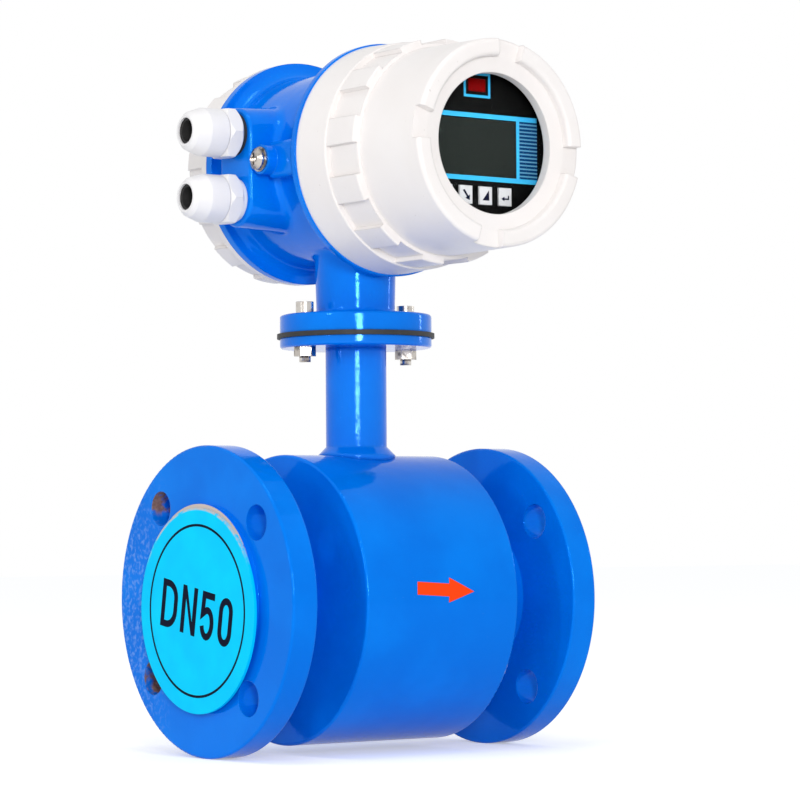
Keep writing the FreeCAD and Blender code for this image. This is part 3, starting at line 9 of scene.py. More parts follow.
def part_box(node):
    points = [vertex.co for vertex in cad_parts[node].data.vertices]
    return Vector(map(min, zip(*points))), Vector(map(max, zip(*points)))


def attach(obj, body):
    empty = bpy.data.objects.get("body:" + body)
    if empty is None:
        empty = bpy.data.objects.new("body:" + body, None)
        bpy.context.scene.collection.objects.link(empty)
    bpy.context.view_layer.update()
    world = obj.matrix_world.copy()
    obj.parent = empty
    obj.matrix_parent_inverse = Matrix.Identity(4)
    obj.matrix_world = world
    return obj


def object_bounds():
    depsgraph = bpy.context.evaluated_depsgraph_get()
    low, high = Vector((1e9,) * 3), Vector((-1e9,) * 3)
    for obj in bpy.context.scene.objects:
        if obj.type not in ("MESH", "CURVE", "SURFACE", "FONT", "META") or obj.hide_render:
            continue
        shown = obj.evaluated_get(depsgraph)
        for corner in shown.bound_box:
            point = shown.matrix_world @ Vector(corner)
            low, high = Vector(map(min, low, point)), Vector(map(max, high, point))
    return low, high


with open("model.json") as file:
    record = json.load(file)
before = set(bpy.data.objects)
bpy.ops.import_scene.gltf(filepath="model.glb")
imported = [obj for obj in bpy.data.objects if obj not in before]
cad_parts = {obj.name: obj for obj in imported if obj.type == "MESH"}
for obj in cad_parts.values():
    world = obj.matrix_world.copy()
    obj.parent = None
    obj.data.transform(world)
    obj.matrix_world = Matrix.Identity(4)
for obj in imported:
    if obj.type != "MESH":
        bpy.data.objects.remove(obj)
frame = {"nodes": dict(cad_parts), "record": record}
cad_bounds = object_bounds()

# Looks of the flow meter. Lengths are in metres, and every place comes from the frame's parts.

MM = 0.001


# ---------------------------------------------------------------- places

def middle(node):
    """Centre of a node's box."""
    low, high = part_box(node)
    return (low + high) / 2


def mount_sizes(name):
    """Sizes of one of the record's mounts."""
    return next(mount["dims"] for mount in frame["record"]["mounts"] if mount["name"] == name)


FLOOR = cad_bounds[0][2]
CAN_RADIUS = (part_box("coil_housing_shell")[1].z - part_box("coil_housing_shell")[0].z) / 2
BOLT_CIRCLE_RADIUS = mount_sizes("inlet_flange_bolts")["pcd_mm"] * MM / 2
BOLT_HOLE_RADIUS = mount_sizes("inlet_flange_bolts")["hole_r_mm"] * MM
DISC_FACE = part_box("inlet_disc")[0].x
DISC_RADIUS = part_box("inlet_disc")[1].y
DISC_HEIGHT = middle("inlet_disc").z
PANEL_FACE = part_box("display_bezel")[0].y
PANEL_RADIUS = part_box("display_bezel")[1].x
HEAD_HEIGHT = middle("display_bezel").z


# ---------------------------------------------------------------- shader nodes

class Value:
    """An output that changes over a surface or from ray to ray. Arithmetic on it adds Math nodes."""

    def __init__(self, nodes, link):
        self.nodes = nodes
        self.link = link

    def math(self, operation, *others):
        inputs = dict(enumerate((self, *others)))
        return self.nodes.node("ShaderNodeMath", {"operation": operation}, inputs)

    def __add__(self, other):
        return self.math("ADD", other)

    def __sub__(self, other):
        return self.math("SUBTRACT", other)

    def __mul__(self, other):
        return self.math("MULTIPLY", other)

    def __rsub__(self, other):
        return (self * -1) + other

    def __pow__(self, other):
        return self.math("POWER", other)

    def __gt__(self, other):
        return self.math("GREATER_THAN", other)

    def __lt__(self, other):
        return self.math("LESS_THAN", other)

    def __abs__(self):
        return self.math("ABSOLUTE")

    __radd__ = __add__
    __rmul__ = __mul__

    def ramp(self, low, high):
        """0 at low, 1 at high, smooth between them."""
        settings = {"interpolation_type": "SMOOTHSTEP"}
        return self.nodes.node("ShaderNodeMapRange", settings, {0: self, 1: low, 2: high})


class Nodes:
    """The node tree of a material or of the world."""

    def __init__(self, owner):
        owner.use_nodes = True
        self.tree = owner.node_tree

    def node(self, kind, settings=None, inputs=None, output=0):
        """Any node: its settings first, then the values or links of its sockets."""
        node = self.tree.nodes.new(kind)
        for name, value in (settings or {}).items():
            setattr(node, name, value)
        for socket, value in (inputs or {}).items():
            if isinstance(value, Value):
                self.tree.links.new(value.link, node.inputs[socket])
            else:
                node.inputs[socket].default_value = value
        return Value(self, node.outputs[output])

    def ray_is(self, kind):
        """1 for rays of the kind that a Light Path output names, and 0 for others."""
        return self.node("ShaderNodeLightPath", output=kind)

    def show(self, shader):
        """Leads a shader to the output that the tree came with."""
        end = next(node for node in self.tree.nodes if node.type.startswith("OUTPUT"))
        self.tree.links.new(shader.link, end.inputs["Surface"])


# ---------------------------------------------------------------- camera, lamps and floor

def add_camera():
    """Long lens at the meter's own height, on the inlet side."""
    place = (-0.99670, -1.37011, 0.03588)
    focal_length = 143.96
    sensor_width = 36
    azimuth, elevation, roll = (math.radians(angle) for angle in (-36.82, -2.33, -0.39))
    back = Vector((math.sin(azimuth) * math.cos(elevation),
                   -math.cos(azimuth) * math.cos(elevation), math.sin(elevation)))
    level = (-back).cross(Vector((0, 0, 1))).normalized()
    upright = level.cross(-back)
    right = level * math.cos(roll) + upright * math.sin(roll)
    up = upright * math.cos(roll) - level * math.sin(roll)
    camera = bpy.data.objects.new("camera", bpy.data.cameras.new("camera"))
    camera.data.sensor_width = sensor_width
    camera.data.lens = focal_length
    camera.matrix_world = Matrix.Translation(place) @ Matrix((right, up, back)).transposed().to_4x4()
    bpy.context.scene.collection.objects.link(camera)
    bpy.context.scene.camera = camera


def add_lamp(name, place, size, power):
    """Soft rectangular lamp that looks at the middle of the meter."""
    lamp = bpy.data.lights.new(name, "AREA")
    lamp.shape = "RECTANGLE"
    lamp.size, lamp.size_y = size
    lamp.energy = power
    holder = bpy.data.objects.new(name, lamp)
    aim = (Vector((0, 0, 0.1)) - Vector(place)).to_track_quat("-Z", "Y")
    holder.matrix_world = Matrix.Translation(place) @ aim.to_matrix().to_4x4()
    bpy.context.scene.collection.objects.link(holder)


def seen_rays(nodes):
    """1 where the camera, a mirror or a glass looks at a surface, and 0 for the light that it gives."""
    looking = nodes.ray_is("Is Camera Ray").math("MAXIMUM", nodes.ray_is("Is Glossy Ray"))
    return looking.math("MAXIMUM", nodes.ray_is("Is Transmission Ray"))


def add_surroundings():
    """White all round to look at, and a softer, slightly cool light from it."""
    world = bpy.data.worlds.new("studio")
    bpy.context.scene.world = world
    nodes = Nodes(world)
    ambient = nodes.node("ShaderNodeBackground",
                         inputs={"Color": (0.97, 0.985, 1, 1), "Strength": 0.655})
    white = nodes.node("ShaderNodeBackground", inputs={"Color": (1, 1, 1, 1), "Strength": 1})
    nodes.show(nodes.node("ShaderNodeMixShader", inputs={0: seen_rays(nodes), 1: ambient, 2: white}))


def add_floor():
    """Pale paper under the meter. It glows a little where it is seen, and keeps the shadow."""
    bpy.ops.mesh.primitive_plane_add(size=12, location=(0, 0, FLOOR))
    floor = bpy.context.object
    floor.name = "studio_floor"
    paper = bpy.data.materials.new("studio_paper")
    nodes = Nodes(paper)
    matt = nodes.node("ShaderNodeBsdfDiffuse", inputs={"Color": (0.88, 0.88, 0.88, 1)})
    glow = nodes.node("ShaderNodeEmission",
                      inputs={"Color": (0.42, 0.42, 0.42, 1), "Strength": seen_rays(nodes)})
    nodes.show(nodes.node("ShaderNodeAddShader", inputs={0: matt, 1: glow}))
    floor.data.materials.append(paper)


def add_studio():
    add_surroundings()
    add_floor()
    add_lamp("front_lamp", (-1.11, -1.90, 0.42), (0.24, 0.5), 20)
    add_lamp("left_lamp", (-2.15, -0.46, 0.75), (0.14, 0.5), 6)
    add_lamp("right_lamp", (1.96, -0.38, 0.45), (0.10, 0.4), 1.5)
    add_lamp("top_lamp", (-0.4, -0.5, 2.1), (0.5, 0.5), 5)
    bpy.context.scene.view_settings.view_transform = "Standard"


# ---------------------------------------------------------------- finishes

class Finish(Nodes):
    """A procedural material round one Principled shader."""

    def __init__(self, name, **constants):
        self.material = bpy.data.materials.new(name)
        super().__init__(self.material)
        self.shader = self.tree.nodes["Principled BSDF"]
        for socket, value in constants.items():
            self.shader.inputs[socket.replace("_", " ")].default_value = value
        self.place = self.node("ShaderNodeTexCoord", output="Object")

    def facing(self):
        """The way that the surface looks."""
        return self.node("ShaderNodeTexCoord", output="Normal")

    def along(self, axis, vector=None):
        """One coordinate of the place or of another vector."""
        return self.node("ShaderNodeSeparateXYZ", inputs={0: vector or self.place}, output=axis)

    def noise(self, grain, detail=3, vector=None, distortion=0):
        """Cloudy pattern whose lumps are about as large as grain."""
        inputs = {"Vector": vector or self.place, "Scale": 1 / grain, "Detail": detail,
                  "Distortion": distortion}
        return self.node("ShaderNodeTexNoise", inputs=inputs)

    def cell_edges(self, grain):
        """Distance to the edges of cells that are about as large as grain."""
        return self.node("ShaderNodeTexVoronoi", {"feature": "DISTANCE_TO_EDGE"},
                         {"Vector": self.place, "Scale": 1 / grain})

    def blend(self, mask, first, second):
        """Colour that goes from the first to the second as the mask goes from 0 to 1."""
        pair = [colour if isinstance(colour, Value) else (*colour, 1) for colour in (first, second)]
        return self.node("ShaderNodeMix", {"data_type": "RGBA"}, {0: mask, 6: pair[0], 7: pair[1]}, 2)

    def feed(self, socket, value):
        self.tree.links.new(value.link, self.shader.inputs[socket])

    def relief(self, height, depth, edge=0):
        """Fine relief of the given depth, over edges that look rounded by the given radius."""
        inputs = {"Height": height, "Distance": depth, "Strength": 1.0}
        if edge:
            inputs["Normal"] = self.node("ShaderNodeBevel", {"samples": 4}, {"Radius": edge})
        self.feed("Normal", self.node("ShaderNodeBump", inputs=inputs))


ENAMEL_GLOSS = {"Specular_IOR_Level": 0.045, "Metallic": 0.12}
CAST_GLOSS = {"Specular_IOR_Level": 0.09, "Metallic": 0.12}
WET_GLOSS = {"Specular_IOR_Level": 0.15, "Metallic": 0.12}
BLUE_DEEP = (0.0, 0.168, 0.74)
BLUE_BRIGHT = (0.0, 0.205, 0.83)
NIB_BLUE = (0.16, 0.36, 0.94)
# Lighter blue of the painted reflection specks on the inlet flange's face.
REFLECTION_SPECK_BLUE = (0.24, 0.42, 0.88)
RUST_DARK = (0.10, 0.035, 0.02)
RUST_LIGHT = (0.50, 0.32, 0.26)
BARE_FACE = (0.62, 0.52, 0.47)
BARE_FOIL = (0.62, 0.50, 0.44)


def sprayed_blue(finish):
    """Uneven colour of a sprayed coat, and the dust nibs in it."""
    cloud = finish.noise(0.05, 4).ramp(0.35, 0.7)
    nibs = finish.noise(0.0011, 2).ramp(0.74, 0.8)
    colour = finish.blend(cloud, BLUE_DEEP, BLUE_BRIGHT)
    return finish.blend(nibs * 0.3, colour, NIB_BLUE), nibs


def blue_enamel(name, gloss=ENAMEL_GLOSS, peel=0.00006, edge=0.0009):
    """Sprayed enamel: uneven colour, orange peel, dust nibs and slightly uneven gloss."""
    finish = Finish(name, **gloss)
    colour, nibs = sprayed_blue(finish)
    finish.feed("Base Color", colour)
    finish.feed("Roughness", finish.noise(0.02, 3) * 0.08 + 0.05)
    finish.relief(finish.noise(0.009, 3) * 2 + nibs * 0.4, peel, edge)
    return finish


def flange_wear(finish):
    """Inlet flange marks: painted reflection specks on its face's rear half, rusty rear holes, bare
    raised face.
    """
    x, y, z = (finish.along(axis) for axis in "XYZ")
    rear_half = y.ramp(0.025, 0.07) * (1 - z.ramp(0.03, 0.075))
    front_face = 1 - x.ramp(DISC_FACE + 0.006, DISC_FACE + 0.010)
    # Lighter specks on the rear half of the face are a painted reflection in the orange peel; they also
    # raise the relief.
    painted_reflection_specks = rear_half * front_face * finish.noise(0.0027, 5, distortion=0.3).ramp(0.45, 0.75)
    off_circle = abs((y * y + z * z) ** 0.5 - BOLT_CIRCLE_RADIUS)
    sideways = abs(finish.along("X", finish.facing())) < 0.5
    rear_hole = sideways * (off_circle < BOLT_HOLE_RADIUS + 0.0015) * (y > 0)
    rust = rear_hole * (z.ramp(0.043, 0.048) + (z < 0)) * finish.noise(0.007, 4).ramp(0.36, 0.5)
    raised_face = x < DISC_FACE + 0.0019
    bare = raised_face * z.ramp(0.02, 0.035) * finish.noise(0.006, 3).ramp(0.3, 0.4)
    return painted_reflection_specks, rust, bare


def flange_enamel(name, worn):
    """Blue enamel with a finer peel than elsewhere; the worn one adds painted reflection specks, rust
    and a bare raised face.
    """
    finish = Finish(name, **ENAMEL_GLOSS)
    colour, nibs = sprayed_blue(finish)
    height = finish.noise(0.006, 2) + nibs * 0.4
    roughness = finish.noise(0.02, 3) * 0.08 + 0.05
    if worn:
        painted_reflection_specks, rust, bare = flange_wear(finish)
        # Painted reflection: lighter specks on the rear half of the face.
        colour = finish.blend(painted_reflection_specks * 0.6, colour, REFLECTION_SPECK_BLUE)
        scale = finish.blend(finish.noise(0.0018, 4), RUST_DARK, RUST_LIGHT)
        colour = finish.blend(rust, colour, scale)
        colour = finish.blend(bare, colour, BARE_FACE)
        height = height + painted_reflection_specks * 0.8
        roughness = roughness + rust * 0.4
    finish.feed("Base Color", colour)
    finish.feed("Roughness", roughness)
    finish.relief(height, 0.00006, 0.0009)
    return finish


def white_enamel(name):
    """Warm white powder coat on a casting, with a few dark specks of dirt."""
    finish = Finish(name, Specular_IOR_Level=0.35)
    cloud = finish.noise(0.045, 4).ramp(0.3, 0.75)
    colour = finish.blend(cloud, (0.815, 0.775, 0.755), (0.850, 0.815, 0.800))
    specks = finish.noise(0.0016, 1).ramp(0.78, 0.82)
    finish.feed("Base Color", finish.blend(specks * 0.5, colour, (0.45, 0.40, 0.36)))
    finish.feed("Roughness", finish.noise(0.012, 3) * 0.16 + 0.28)
    finish.relief(finish.noise(0.0013, 3) + finish.noise(0.008, 2) * 1.5, 0.00005, 0.0010)
    return finish


def moulded(name, colour, roughness, spread, edge=0.0008, grain=0.0009, depth=0.00002, gloss=0.4):
    """Moulded plastic: flow clouds that darken the colour by the spread, fine grain, soft edges."""
    finish = Finish(name, Specular_IOR_Level=gloss)
    darker = tuple(max(0, part - spread) for part in colour)
    finish.feed("Base Color", finish.blend(finish.noise(0.012, 3), darker, colour))
    finish.feed("Roughness", finish.noise(0.004, 3) * 0.2 + (roughness - 0.1))
    finish.relief(finish.noise(grain, 3), depth, edge)
    return finish


def machined(name, colour, roughness, stretch=(1, 1, 1), tarnish=0.72):
    """Bare or plated metal with fine tool marks and a few dull patches."""
    finish = Finish(name, Metallic=1.0)
    place = finish.node("ShaderNodeVectorMath", {"operation": "MULTIPLY"},
                        {0: finish.place, 1: stretch})
    marks = finish.noise(0.0006, 2, place)
    dull = finish.noise(0.004, 3).ramp(0.45, 0.7)
    darker = tuple(part * tarnish for part in colour)
    finish.feed("Base Color", finish.blend(dull, colour, darker))
    finish.feed("Roughness", marks * 0.15 + dull * 0.15 + (roughness - 0.1))
    finish.relief(marks, 0.00002, 0.0004)
    return finish


def threaded(name, pitch):
    """Plated steel with a thread below the neck's upper plate."""
    finish = Finish(name, Metallic=1.0)
    z = finish.along("Z")
    thread = (z * (1 / pitch)).math("PINGPONG", 1) * (z < middle("neck_gasket").z)
    dull = finish.noise(0.004, 3).ramp(0.45, 0.7)
    finish.feed("Base Color", finish.blend(dull, (0.60, 0.57, 0.53), (0.30, 0.26, 0.23)))
    finish.feed("Roughness", dull * 0.2 + 0.22)
    finish.relief(thread, 0.0005, 0.0003)
    return finish


def rubber(name, colour):
    """Dull black rubber with a fine grain."""
    finish = Finish(name, Specular_IOR_Level=0.35)
    finish.feed("Base Color", finish.blend(finish.noise(0.006, 4), colour, (0.035, 0.034, 0.033)))
    finish.feed("Roughness", finish.noise(0.002, 3) * 0.2 + 0.5)
    finish.relief(finish.noise(0.0009, 3), 0.00006, 0.0004)
    return finish


def printed(name, colour):
    """Screen-printed ink or foil: nearly flat colour with a faint tooth."""
    finish = Finish(name, Specular_IOR_Level=0.02)
    thinner = tuple(part * 0.9 for part in colour)
    finish.feed("Base Color", finish.blend(finish.noise(0.003, 3), thinner, colour))
    finish.feed("Roughness", finish.noise(0.002, 2) * 0.1 + 0.3)
    finish.relief(finish.noise(0.0006, 2), 0.00001)
    return finish


def cover_foil(name):
    """Cyan protective foil with soft clouds and a worn, paler upper edge."""
    finish = Finish(name, Specular_IOR_Level=0.03)
    y = finish.along("Y")
    z = finish.along("Z") - DISC_HEIGHT
    radius = (y * y + z * z) ** 0.5
    cloud = finish.noise(0.02, 4).ramp(0.3, 0.8)
    colour = finish.blend(cloud, (0.0, 0.58, 0.96), (0.0, 0.66, 1.0))
    upper_edge = radius.ramp(DISC_RADIUS - 0.0014, DISC_RADIUS - 0.0006) * z.ramp(0.02, 0.04)
    worn = upper_edge * finish.noise(0.004, 3).ramp(0.3, 0.6)
    finish.feed("Base Color", finish.blend(worn * 0.85, colour, BARE_FOIL))
    finish.feed("Roughness", finish.noise(0.01, 3) * 0.15 + 0.25)
    finish.relief(finish.noise(0.004, 3), 0.00003, 0.0003)
    return finish


def window_pane(name):
    """Clear glass that lets lamps light what is behind it."""
    finish = Finish(name, Transmission_Weight=1.0, Roughness=0.0, IOR=1.05)
    finish.feed("Base Color", finish.blend(finish.noise(0.03, 2), (0.97, 0.99, 0.98), (1, 1, 1)))
    glass = Value(finish, finish.shader.outputs[0])
    clear = finish.node("ShaderNodeBsdfTransparent")
    inputs = {0: finish.ray_is("Is Shadow Ray"), 1: glass, 2: clear}
    finish.show(finish.node("ShaderNodeMixShader", inputs=inputs))
    return finish


def winding_wire(name):
    """Turns of enamelled wire, one above the other, with painted shade in the grooves between them."""
    finish = Finish(name, Metallic=0.6)
    wire_dia = 0.0008
    turn_wave_with_groove_shade = (finish.along("Z") * (2 * math.pi / wire_dia)).math("SINE") * 0.5 + 0.5
    # Darker colour towards the grooves between turns is painted shade; the same wave gives the turns'
    # relief.
    finish.feed("Base Color", finish.blend(turn_wave_with_groove_shade, (0.16, 0.05, 0.015), (0.62, 0.25, 0.09)))
    finish.feed("Roughness", finish.noise(0.003, 2) * 0.2 + 0.3)
    finish.relief(turn_wave_with_groove_shade, 0.0002)
    return finish


def board_lacquer(name):
    """Green lacquer over the copper fields of a circuit board."""
    finish = Finish(name)
    fields = finish.cell_edges(0.006).ramp(0.05, 0.09)
    finish.feed("Base Color", finish.blend(fields, (0.03, 0.27, 0.12), (0.01, 0.12, 0.05)))
    finish.feed("Roughness", finish.noise(0.004, 2) * 0.15 + 0.25)
    finish.relief(fields, 0.00004)
    return finish


# The finish of each material slot.
FINISHES = {
    "paint_blue": blue_enamel("blue_enamel"),
    "cast_blue": blue_enamel("blue_enamel_on_casting", CAST_GLOSS, peel=0.00009, edge=0.0012),
    "cast_white": white_enamel("white_powder_coat"),
    "stainless": machined("turned_stainless_steel", (0.55, 0.54, 0.52), 0.3, stretch=(6, 1, 1)),
    "liner": rubber("liner_rubber", (0.02, 0.02, 0.022)),
    "disc": cover_foil("cyan_foil"),
    "iron": machined("rolled_iron", (0.16, 0.16, 0.17), 0.55),
    "winding": winding_wire("enamelled_copper_wire"),
    "seal": rubber("black_seal_rubber", (0.014, 0.014, 0.015)),
    "zinc": machined("zinc_plated_steel", (0.52, 0.48, 0.44), 0.22, stretch=(1, 1, 3), tarnish=0.3),
    "nylon": moulded("white_nylon", (0.825, 0.81, 0.815), 0.36, spread=0.03),
    "glass": window_pane("window_glass"),
    "panel": moulded("black_panel_plastic", (0.005, 0.005, 0.005), 0.35, spread=0.002,
                     edge=0.0004, gloss=0.03),
    "display": moulded("display_filter", (0.018, 0.022, 0.020), 0.3, spread=0.004,
                       edge=0, grain=0.004, depth=0.000002, gloss=0.03),
    "lamp": moulded("infrared_filter", (0.20, 0.001, 0.001), 0.2, spread=0.08,
                    edge=0.0003, gloss=0.03),
    "key": moulded("key_cap_plastic", (0.62, 0.62, 0.64), 0.4, spread=0.03),
    "board": board_lacquer("circuit_board_lacquer"),
    "terminal": moulded("green_terminal_plastic", (0.03, 0.30, 0.12), 0.4, spread=0.01, edge=0.0005),
}
CAN_ENAMEL = blue_enamel("blue_enamel_on_welded_can", edge=0)
# Parts whose finish isn't that of their slot.
OWN_FINISHES = {
    "inlet_flange": flange_enamel("inlet_flange_enamel", worn=True),
    "outlet_flange": flange_enamel("outlet_flange_enamel", worn=False),
    "coil_housing_shell": CAN_ENAMEL,
    "inlet_end_plate": CAN_ENAMEL,
    "outlet_end_plate": CAN_ENAMEL,
    "measuring_tube": CAN_ENAMEL,
    "neck_pipe": blue_enamel("thick_blue_enamel_on_weld", WET_GLOSS, peel=0.00009, edge=0.0025),
    "neck_plate": blue_enamel("thick_blue_enamel", WET_GLOSS, peel=0.00009),
    "neck_bolts": threaded("screw_thread", pitch=0.00125),
}
LIGHT_BLUE_INK = printed("light_blue_ink", (0.045, 0.44, 0.78))
PALE_BLUE_INK = printed("pale_blue_ink", (0.09, 0.28, 0.45))
DARK_BLUE_INK = printed("dark_blue_ink", (0.003, 0.035, 0.13))
BLACK_INK = printed("black_ink", (0.004, 0.006, 0.022))
RED_FOIL = printed("red_arrow_foil", (1.0, 0.065, 0.008))


def dress_frame():
    """Gives every part its own finish, or the finish of its material slot."""
    for part in frame["record"]["subparts"]:
        node = part["node"]
        finish = OWN_FINISHES.get(node) or FINISHES[part["material_slot"]]
        mesh = frame["nodes"][node].data
        mesh.materials.clear()
        mesh.materials.append(finish.material)


# ---------------------------------------------------------------- thin plates and strokes

def new_piece(name, shape, finish, body):
    """Makes a piece of the working shape, with its faces looking outwards, and hangs it on its body."""
    bmesh.ops.recalc_face_normals(shape, faces=shape.faces)
    mesh = bpy.data.meshes.new(name)
    shape.to_mesh(mesh)
    shape.free()
    mesh.materials.append(finish.material)
    piece = bpy.data.objects.new(name, mesh)
    bpy.context.scene.collection.objects.link(piece)
    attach(piece, body)


def add_plate(shape, outline, lift, thickness, cuts=()):
    """Thin plate inside an outline of (u, v), cut at some v so that it can follow a curved wall."""
    flat = bmesh.new()
    flat.faces.new([flat.verts.new((u, v, 0)) for u, v in outline])
    for cut in cuts:
        bmesh.ops.bisect_plane(flat, geom=flat.verts[:] + flat.edges[:] + flat.faces[:],
                               plane_co=(0, cut, 0), plane_no=(0, 1, 0))
    for item in bmesh.ops.extrude_face_region(flat, geom=flat.faces[:], use_keep_orig=True)["geom"]:
        if isinstance(item, bmesh.types.BMVert):
            item.co.z = thickness
    for vertex in flat.verts:
        vertex.co = lift(*vertex.co)
    mesh = bpy.data.meshes.new("plate")
    flat.to_mesh(mesh)
    flat.free()
    shape.from_mesh(mesh)
    bpy.data.meshes.remove(mesh)


def add_ribbon(shape, edges, lift, thickness, closed):
    """Thin plate between two edges of as many (u, v) points each. A closed one runs all round."""
    levels = [[[shape.verts.new(lift(u, v, level)) for u, v in edge] for level in (0, thickness)]
              for edge in edges]
    rows = (levels[0][0], levels[0][1], levels[1][1], levels[1][0])
    count = len(rows[0])
    for index in range(count if closed else count - 1):
        after = (index + 1) % count
        for row, beside in zip(rows, rows[1:] + rows[:1]):
            shape.faces.new((row[index], row[after], beside[after], beside[index]))
    if not closed:
        for end in (0, -1):
            shape.faces.new([row[end] for row in rows])


def rectangle(left, right, low, high):
    return [(left, low), (right, low), (right, high), (left, high)]


def ring_edges(radii, steps):
    """Inner and outer edge of a ring."""
    angles = [2 * math.pi * step / steps for step in range(steps)]
    return [[(radius * math.cos(angle), radius * math.sin(angle)) for angle in angles]
            for radius in radii]


def stroke_edges(points, width, closed):
    """Both edges of a pen stroke along the points, mitred at its bends."""
    left, right = [], []
    for index, point in enumerate(points):
        before = points[index - 1] if index or closed else point
        after = points[(index + 1) % len(points)] if index < len(points) - 1 or closed else point
        sides = []
        for start, end in ((before, point), (point, after)):
            run = Vector(end) - Vector(start)
            if run.length:
                sides.append(Vector((-run.y, run.x)).normalized())
        middle_side = sum(sides, Vector((0, 0))).normalized()
        reach = middle_side * (width / 2 / middle_side.dot(sides[0]))
        left.append(tuple(Vector(point) + reach))
        right.append(tuple(Vector(point) - reach))
    return left, right


def arc(centre, radii, start, end, steps):
    """Points on part of an ellipse, by angles in degrees."""
    angles = [math.radians(start + (end - start) * step / steps) for step in range(steps + 1)]
    return [(centre[0] + radii[0] * math.cos(angle), centre[1] + radii[1] * math.sin(angle))
            for angle in angles]


def turned(u, v, angle):
    """A point turned about the origin."""
    return (u * math.cos(angle) - v * math.sin(angle), u * math.sin(angle) + v * math.cos(angle))


# ---------------------------------------------------------------- prints and foils

def flow_arrow():
    """Red arrow stuck round the front of the coil housing, pointing downstream."""
    tail, neck, tip = -17.0 * MM, 3.3 * MM, 19.3 * MM
    shaft, head = 3.3 * MM, 6.4 * MM
    centre = math.radians(4.1)
    tilt = math.radians(-3.6)
    outline = [(tail, -shaft), (neck, -shaft), (neck, -head), (tip, 0),
               (neck, head), (neck, shaft), (tail, shaft)]
    bends = [head * part / 8 for part in range(-7, 8)]

    def on_can(u, v, height):
        along, across = turned(u, v, tilt)
        angle = centre + across / CAN_RADIUS
        radius = CAN_RADIUS + height
        return (along, -radius * math.cos(angle), radius * math.sin(angle))

    shape = bmesh.new()
    add_plate(shape, outline, on_can, 0.12 * MM, bends)
    new_piece("flow_arrow", shape, RED_FOIL, "meter")


def letter_d(pen, top):
    """Its width and its closed pen path."""
    width, bend = 14.9 * MM, 7.5 * MM
    half = pen / 2
    centre = width - half - bend
    upper_bend = arc((centre, top - bend), (bend, bend), 90, 0, 8)
    lower_bend = arc((centre, half + bend), (bend, bend), 0, -90, 8)
    return width, [(half, half), (half, top)] + upper_bend + lower_bend


def letter_n(pen, height):
    """Its width and its outline."""
    width, slant = 13.9 * MM, 6.6 * MM
    right = width - pen
    return width, [(0, 0), (pen, 0), (pen, height - slant), (right, 0), (width, 0), (width, height),
                   (right, height), (right, slant), (pen, height), (0, height)]


def digit_five(pen, top):
    """Its width and its open pen path."""
    width = 12.5 * MM
    half = pen / 2
    across = width / 2 - half
    upright = 1.25 * across + 1.2 * MM
    stem = [(width - 0.6 * MM, top), (half + 0.5 * MM, top), (half + 0.1 * MM, 13.0 * MM)]
    return width, stem + arc((width / 2, half + upright), (across, upright), 118, -165, 18)


def digit_zero(pen, top):
    """Its width and its closed pen path."""
    width = 12.5 * MM
    half = pen / 2
    across = width / 2 - half
    upright = 1.25 * across
    upper_bend = arc((width / 2, top - upright), (across, upright), 180, 0, 12)
    lower_bend = arc((width / 2, half + upright), (across, upright), 0, -180, 12)
    return width, upper_bend + lower_bend


def disc_print():
    """Ring and nominal size printed on the protective disc."""
    thickness = 0.06 * MM

    def on_disc(u, v, height):
        return (DISC_FACE - height, -u, DISC_HEIGHT + v)

    shape = bmesh.new()
    add_ribbon(shape, ring_edges((43.0 * MM, 44.3 * MM), 96), on_disc, thickness, closed=True)
    new_piece("disc_ring", shape, BLACK_INK, "meter")

    height, pen, gap, drop = 24.7 * MM, 3.5 * MM, 4.0 * MM, 1.0 * MM
    tilt = math.radians(-9.5)
    top = height - pen / 2
    signs = ((*letter_d(pen, top), "closed"), (*letter_n(pen, height), "outline"),
             (*digit_five(pen, top), "open"), (*digit_zero(pen, top), "closed"))
    left = -(sum(width for width, points, kind in signs) + gap * (len(signs) - 1)) / 2
    shape = bmesh.new()
    for width, points, kind in signs:

        def written(u, v, level, left=left):
            u, v = turned(left + u, v - height / 2, tilt)
            return on_disc(u, v - drop, level)

        if kind == "outline":
            add_plate(shape, points, written, thickness)
        else:
            closed = kind == "closed"
            add_ribbon(shape, stroke_edges(points, pen, closed), written, thickness, closed)
        left += width + gap
    new_piece("disc_size_mark", shape, BLACK_INK, "meter")


def frame_bars(left, right, low, high, bar):
    """Four bars outside a rectangle."""
    return [rectangle(left - bar, right + bar, high, high + bar),
            rectangle(left - bar, right + bar, low - bar, low),
            rectangle(left - bar, left, low, high),
            rectangle(right, right + bar, low, high)]


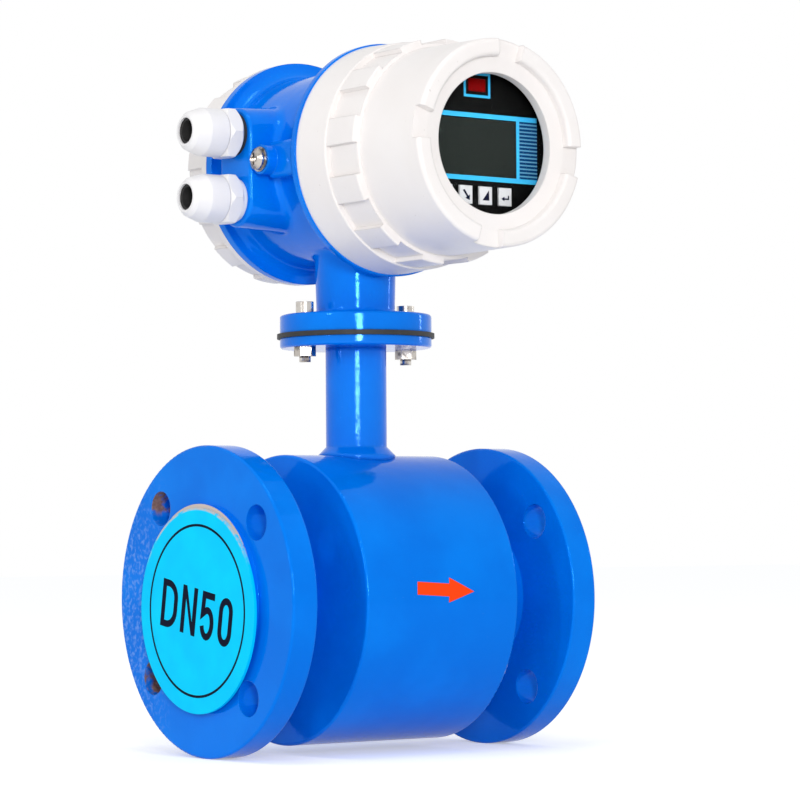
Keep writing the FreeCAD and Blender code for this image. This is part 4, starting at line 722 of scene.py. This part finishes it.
def panel_print():
    """Light blue bars round the display, fine lines at its right and a frame round the red window."""
    left, right = -27.0 * MM, 25.2 * MM
    low, high = -15.1 * MM, 14.3 * MM
    bar, post = 2.4 * MM, 2.0 * MM
    reach = math.sqrt((PANEL_RADIUS - 1.5 * MM) ** 2 - (high + bar) ** 2)
    bars = [rectangle(-reach, reach, high, high + bar), rectangle(-reach, reach, low - bar, low),
            rectangle(right, right + post, low, high), rectangle(left - post, left, low, high)]

    lamp_low, lamp_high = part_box("infrared_window")
    margin, rim = 0.9 * MM, 1.3 * MM
    bars += frame_bars(lamp_low.x - margin, lamp_high.x + margin,
                       lamp_low.z - HEAD_HEIGHT - margin, lamp_high.z - HEAD_HEIGHT + margin, rim)

    lines = 15
    pitch = (high - low) / (lines + 0.5)
    stripes = []
    for index in range(lines):
        foot = low + pitch * (index + 0.55)
        stripes.append(rectangle(right + post, reach, foot, foot + pitch * 0.4))
    ground = [rectangle(right + post, reach, low, high)]

    def on_panel(u, v, height):
        return (u, PANEL_FACE - height, HEAD_HEIGHT + v)

    for name, plates, ink, thickness in (("panel_print", bars, LIGHT_BLUE_INK, 0.08 * MM),
                                         ("panel_stripes", stripes, PALE_BLUE_INK, 0.08 * MM),
                                         ("panel_stripe_ground", ground, DARK_BLUE_INK, 0.04 * MM)):
        shape = bmesh.new()
        for outline in plates:
            add_plate(shape, outline, on_panel, thickness)
        new_piece(name, shape, ink, "meter")


KEY_SIGNS = {
    "key_back": [(-2.6, 0), (0, -1.9), (0, -0.6), (2.6, -0.6), (2.6, 0.6), (0, 0.6), (0, 1.9)],
    "key_down": [(-2.2, 2.2), (-0.9, 2.6), (1.4, -0.6), (2.4, 0.2), (2.2, -2.8), (-0.6, -1.8),
                 (0.4, -1.1)],
    "key_up": [(-2.2, -2.4), (2.2, -2.4), (2.0, 2.8)],
    "key_enter": [(-2.6, -1.0), (-0.6, -2.2), (-0.6, -1.4), (2.4, -1.4), (2.4, 0.8), (1.6, 0.8),
                  (1.6, -0.6), (-0.6, -0.6), (-0.6, 0.2)],
}


def key_marks():
    """One printed sign on each key: an arrow back, one down, a wedge up and an enter arrow."""
    for key, sign in KEY_SIGNS.items():
        centre = middle(key)
        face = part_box(key)[0].y

        def on_key(u, v, height, centre=centre, face=face):
            return (centre.x + u * MM, face - height, centre.z + v * MM)

        shape = bmesh.new()
        add_plate(shape, sign, on_key, 0.06 * MM)
        new_piece(key + "_mark", shape, BLACK_INK, key)


add_camera()
add_studio()
dress_frame()
flow_arrow()
disc_print()
panel_print()
key_marks()
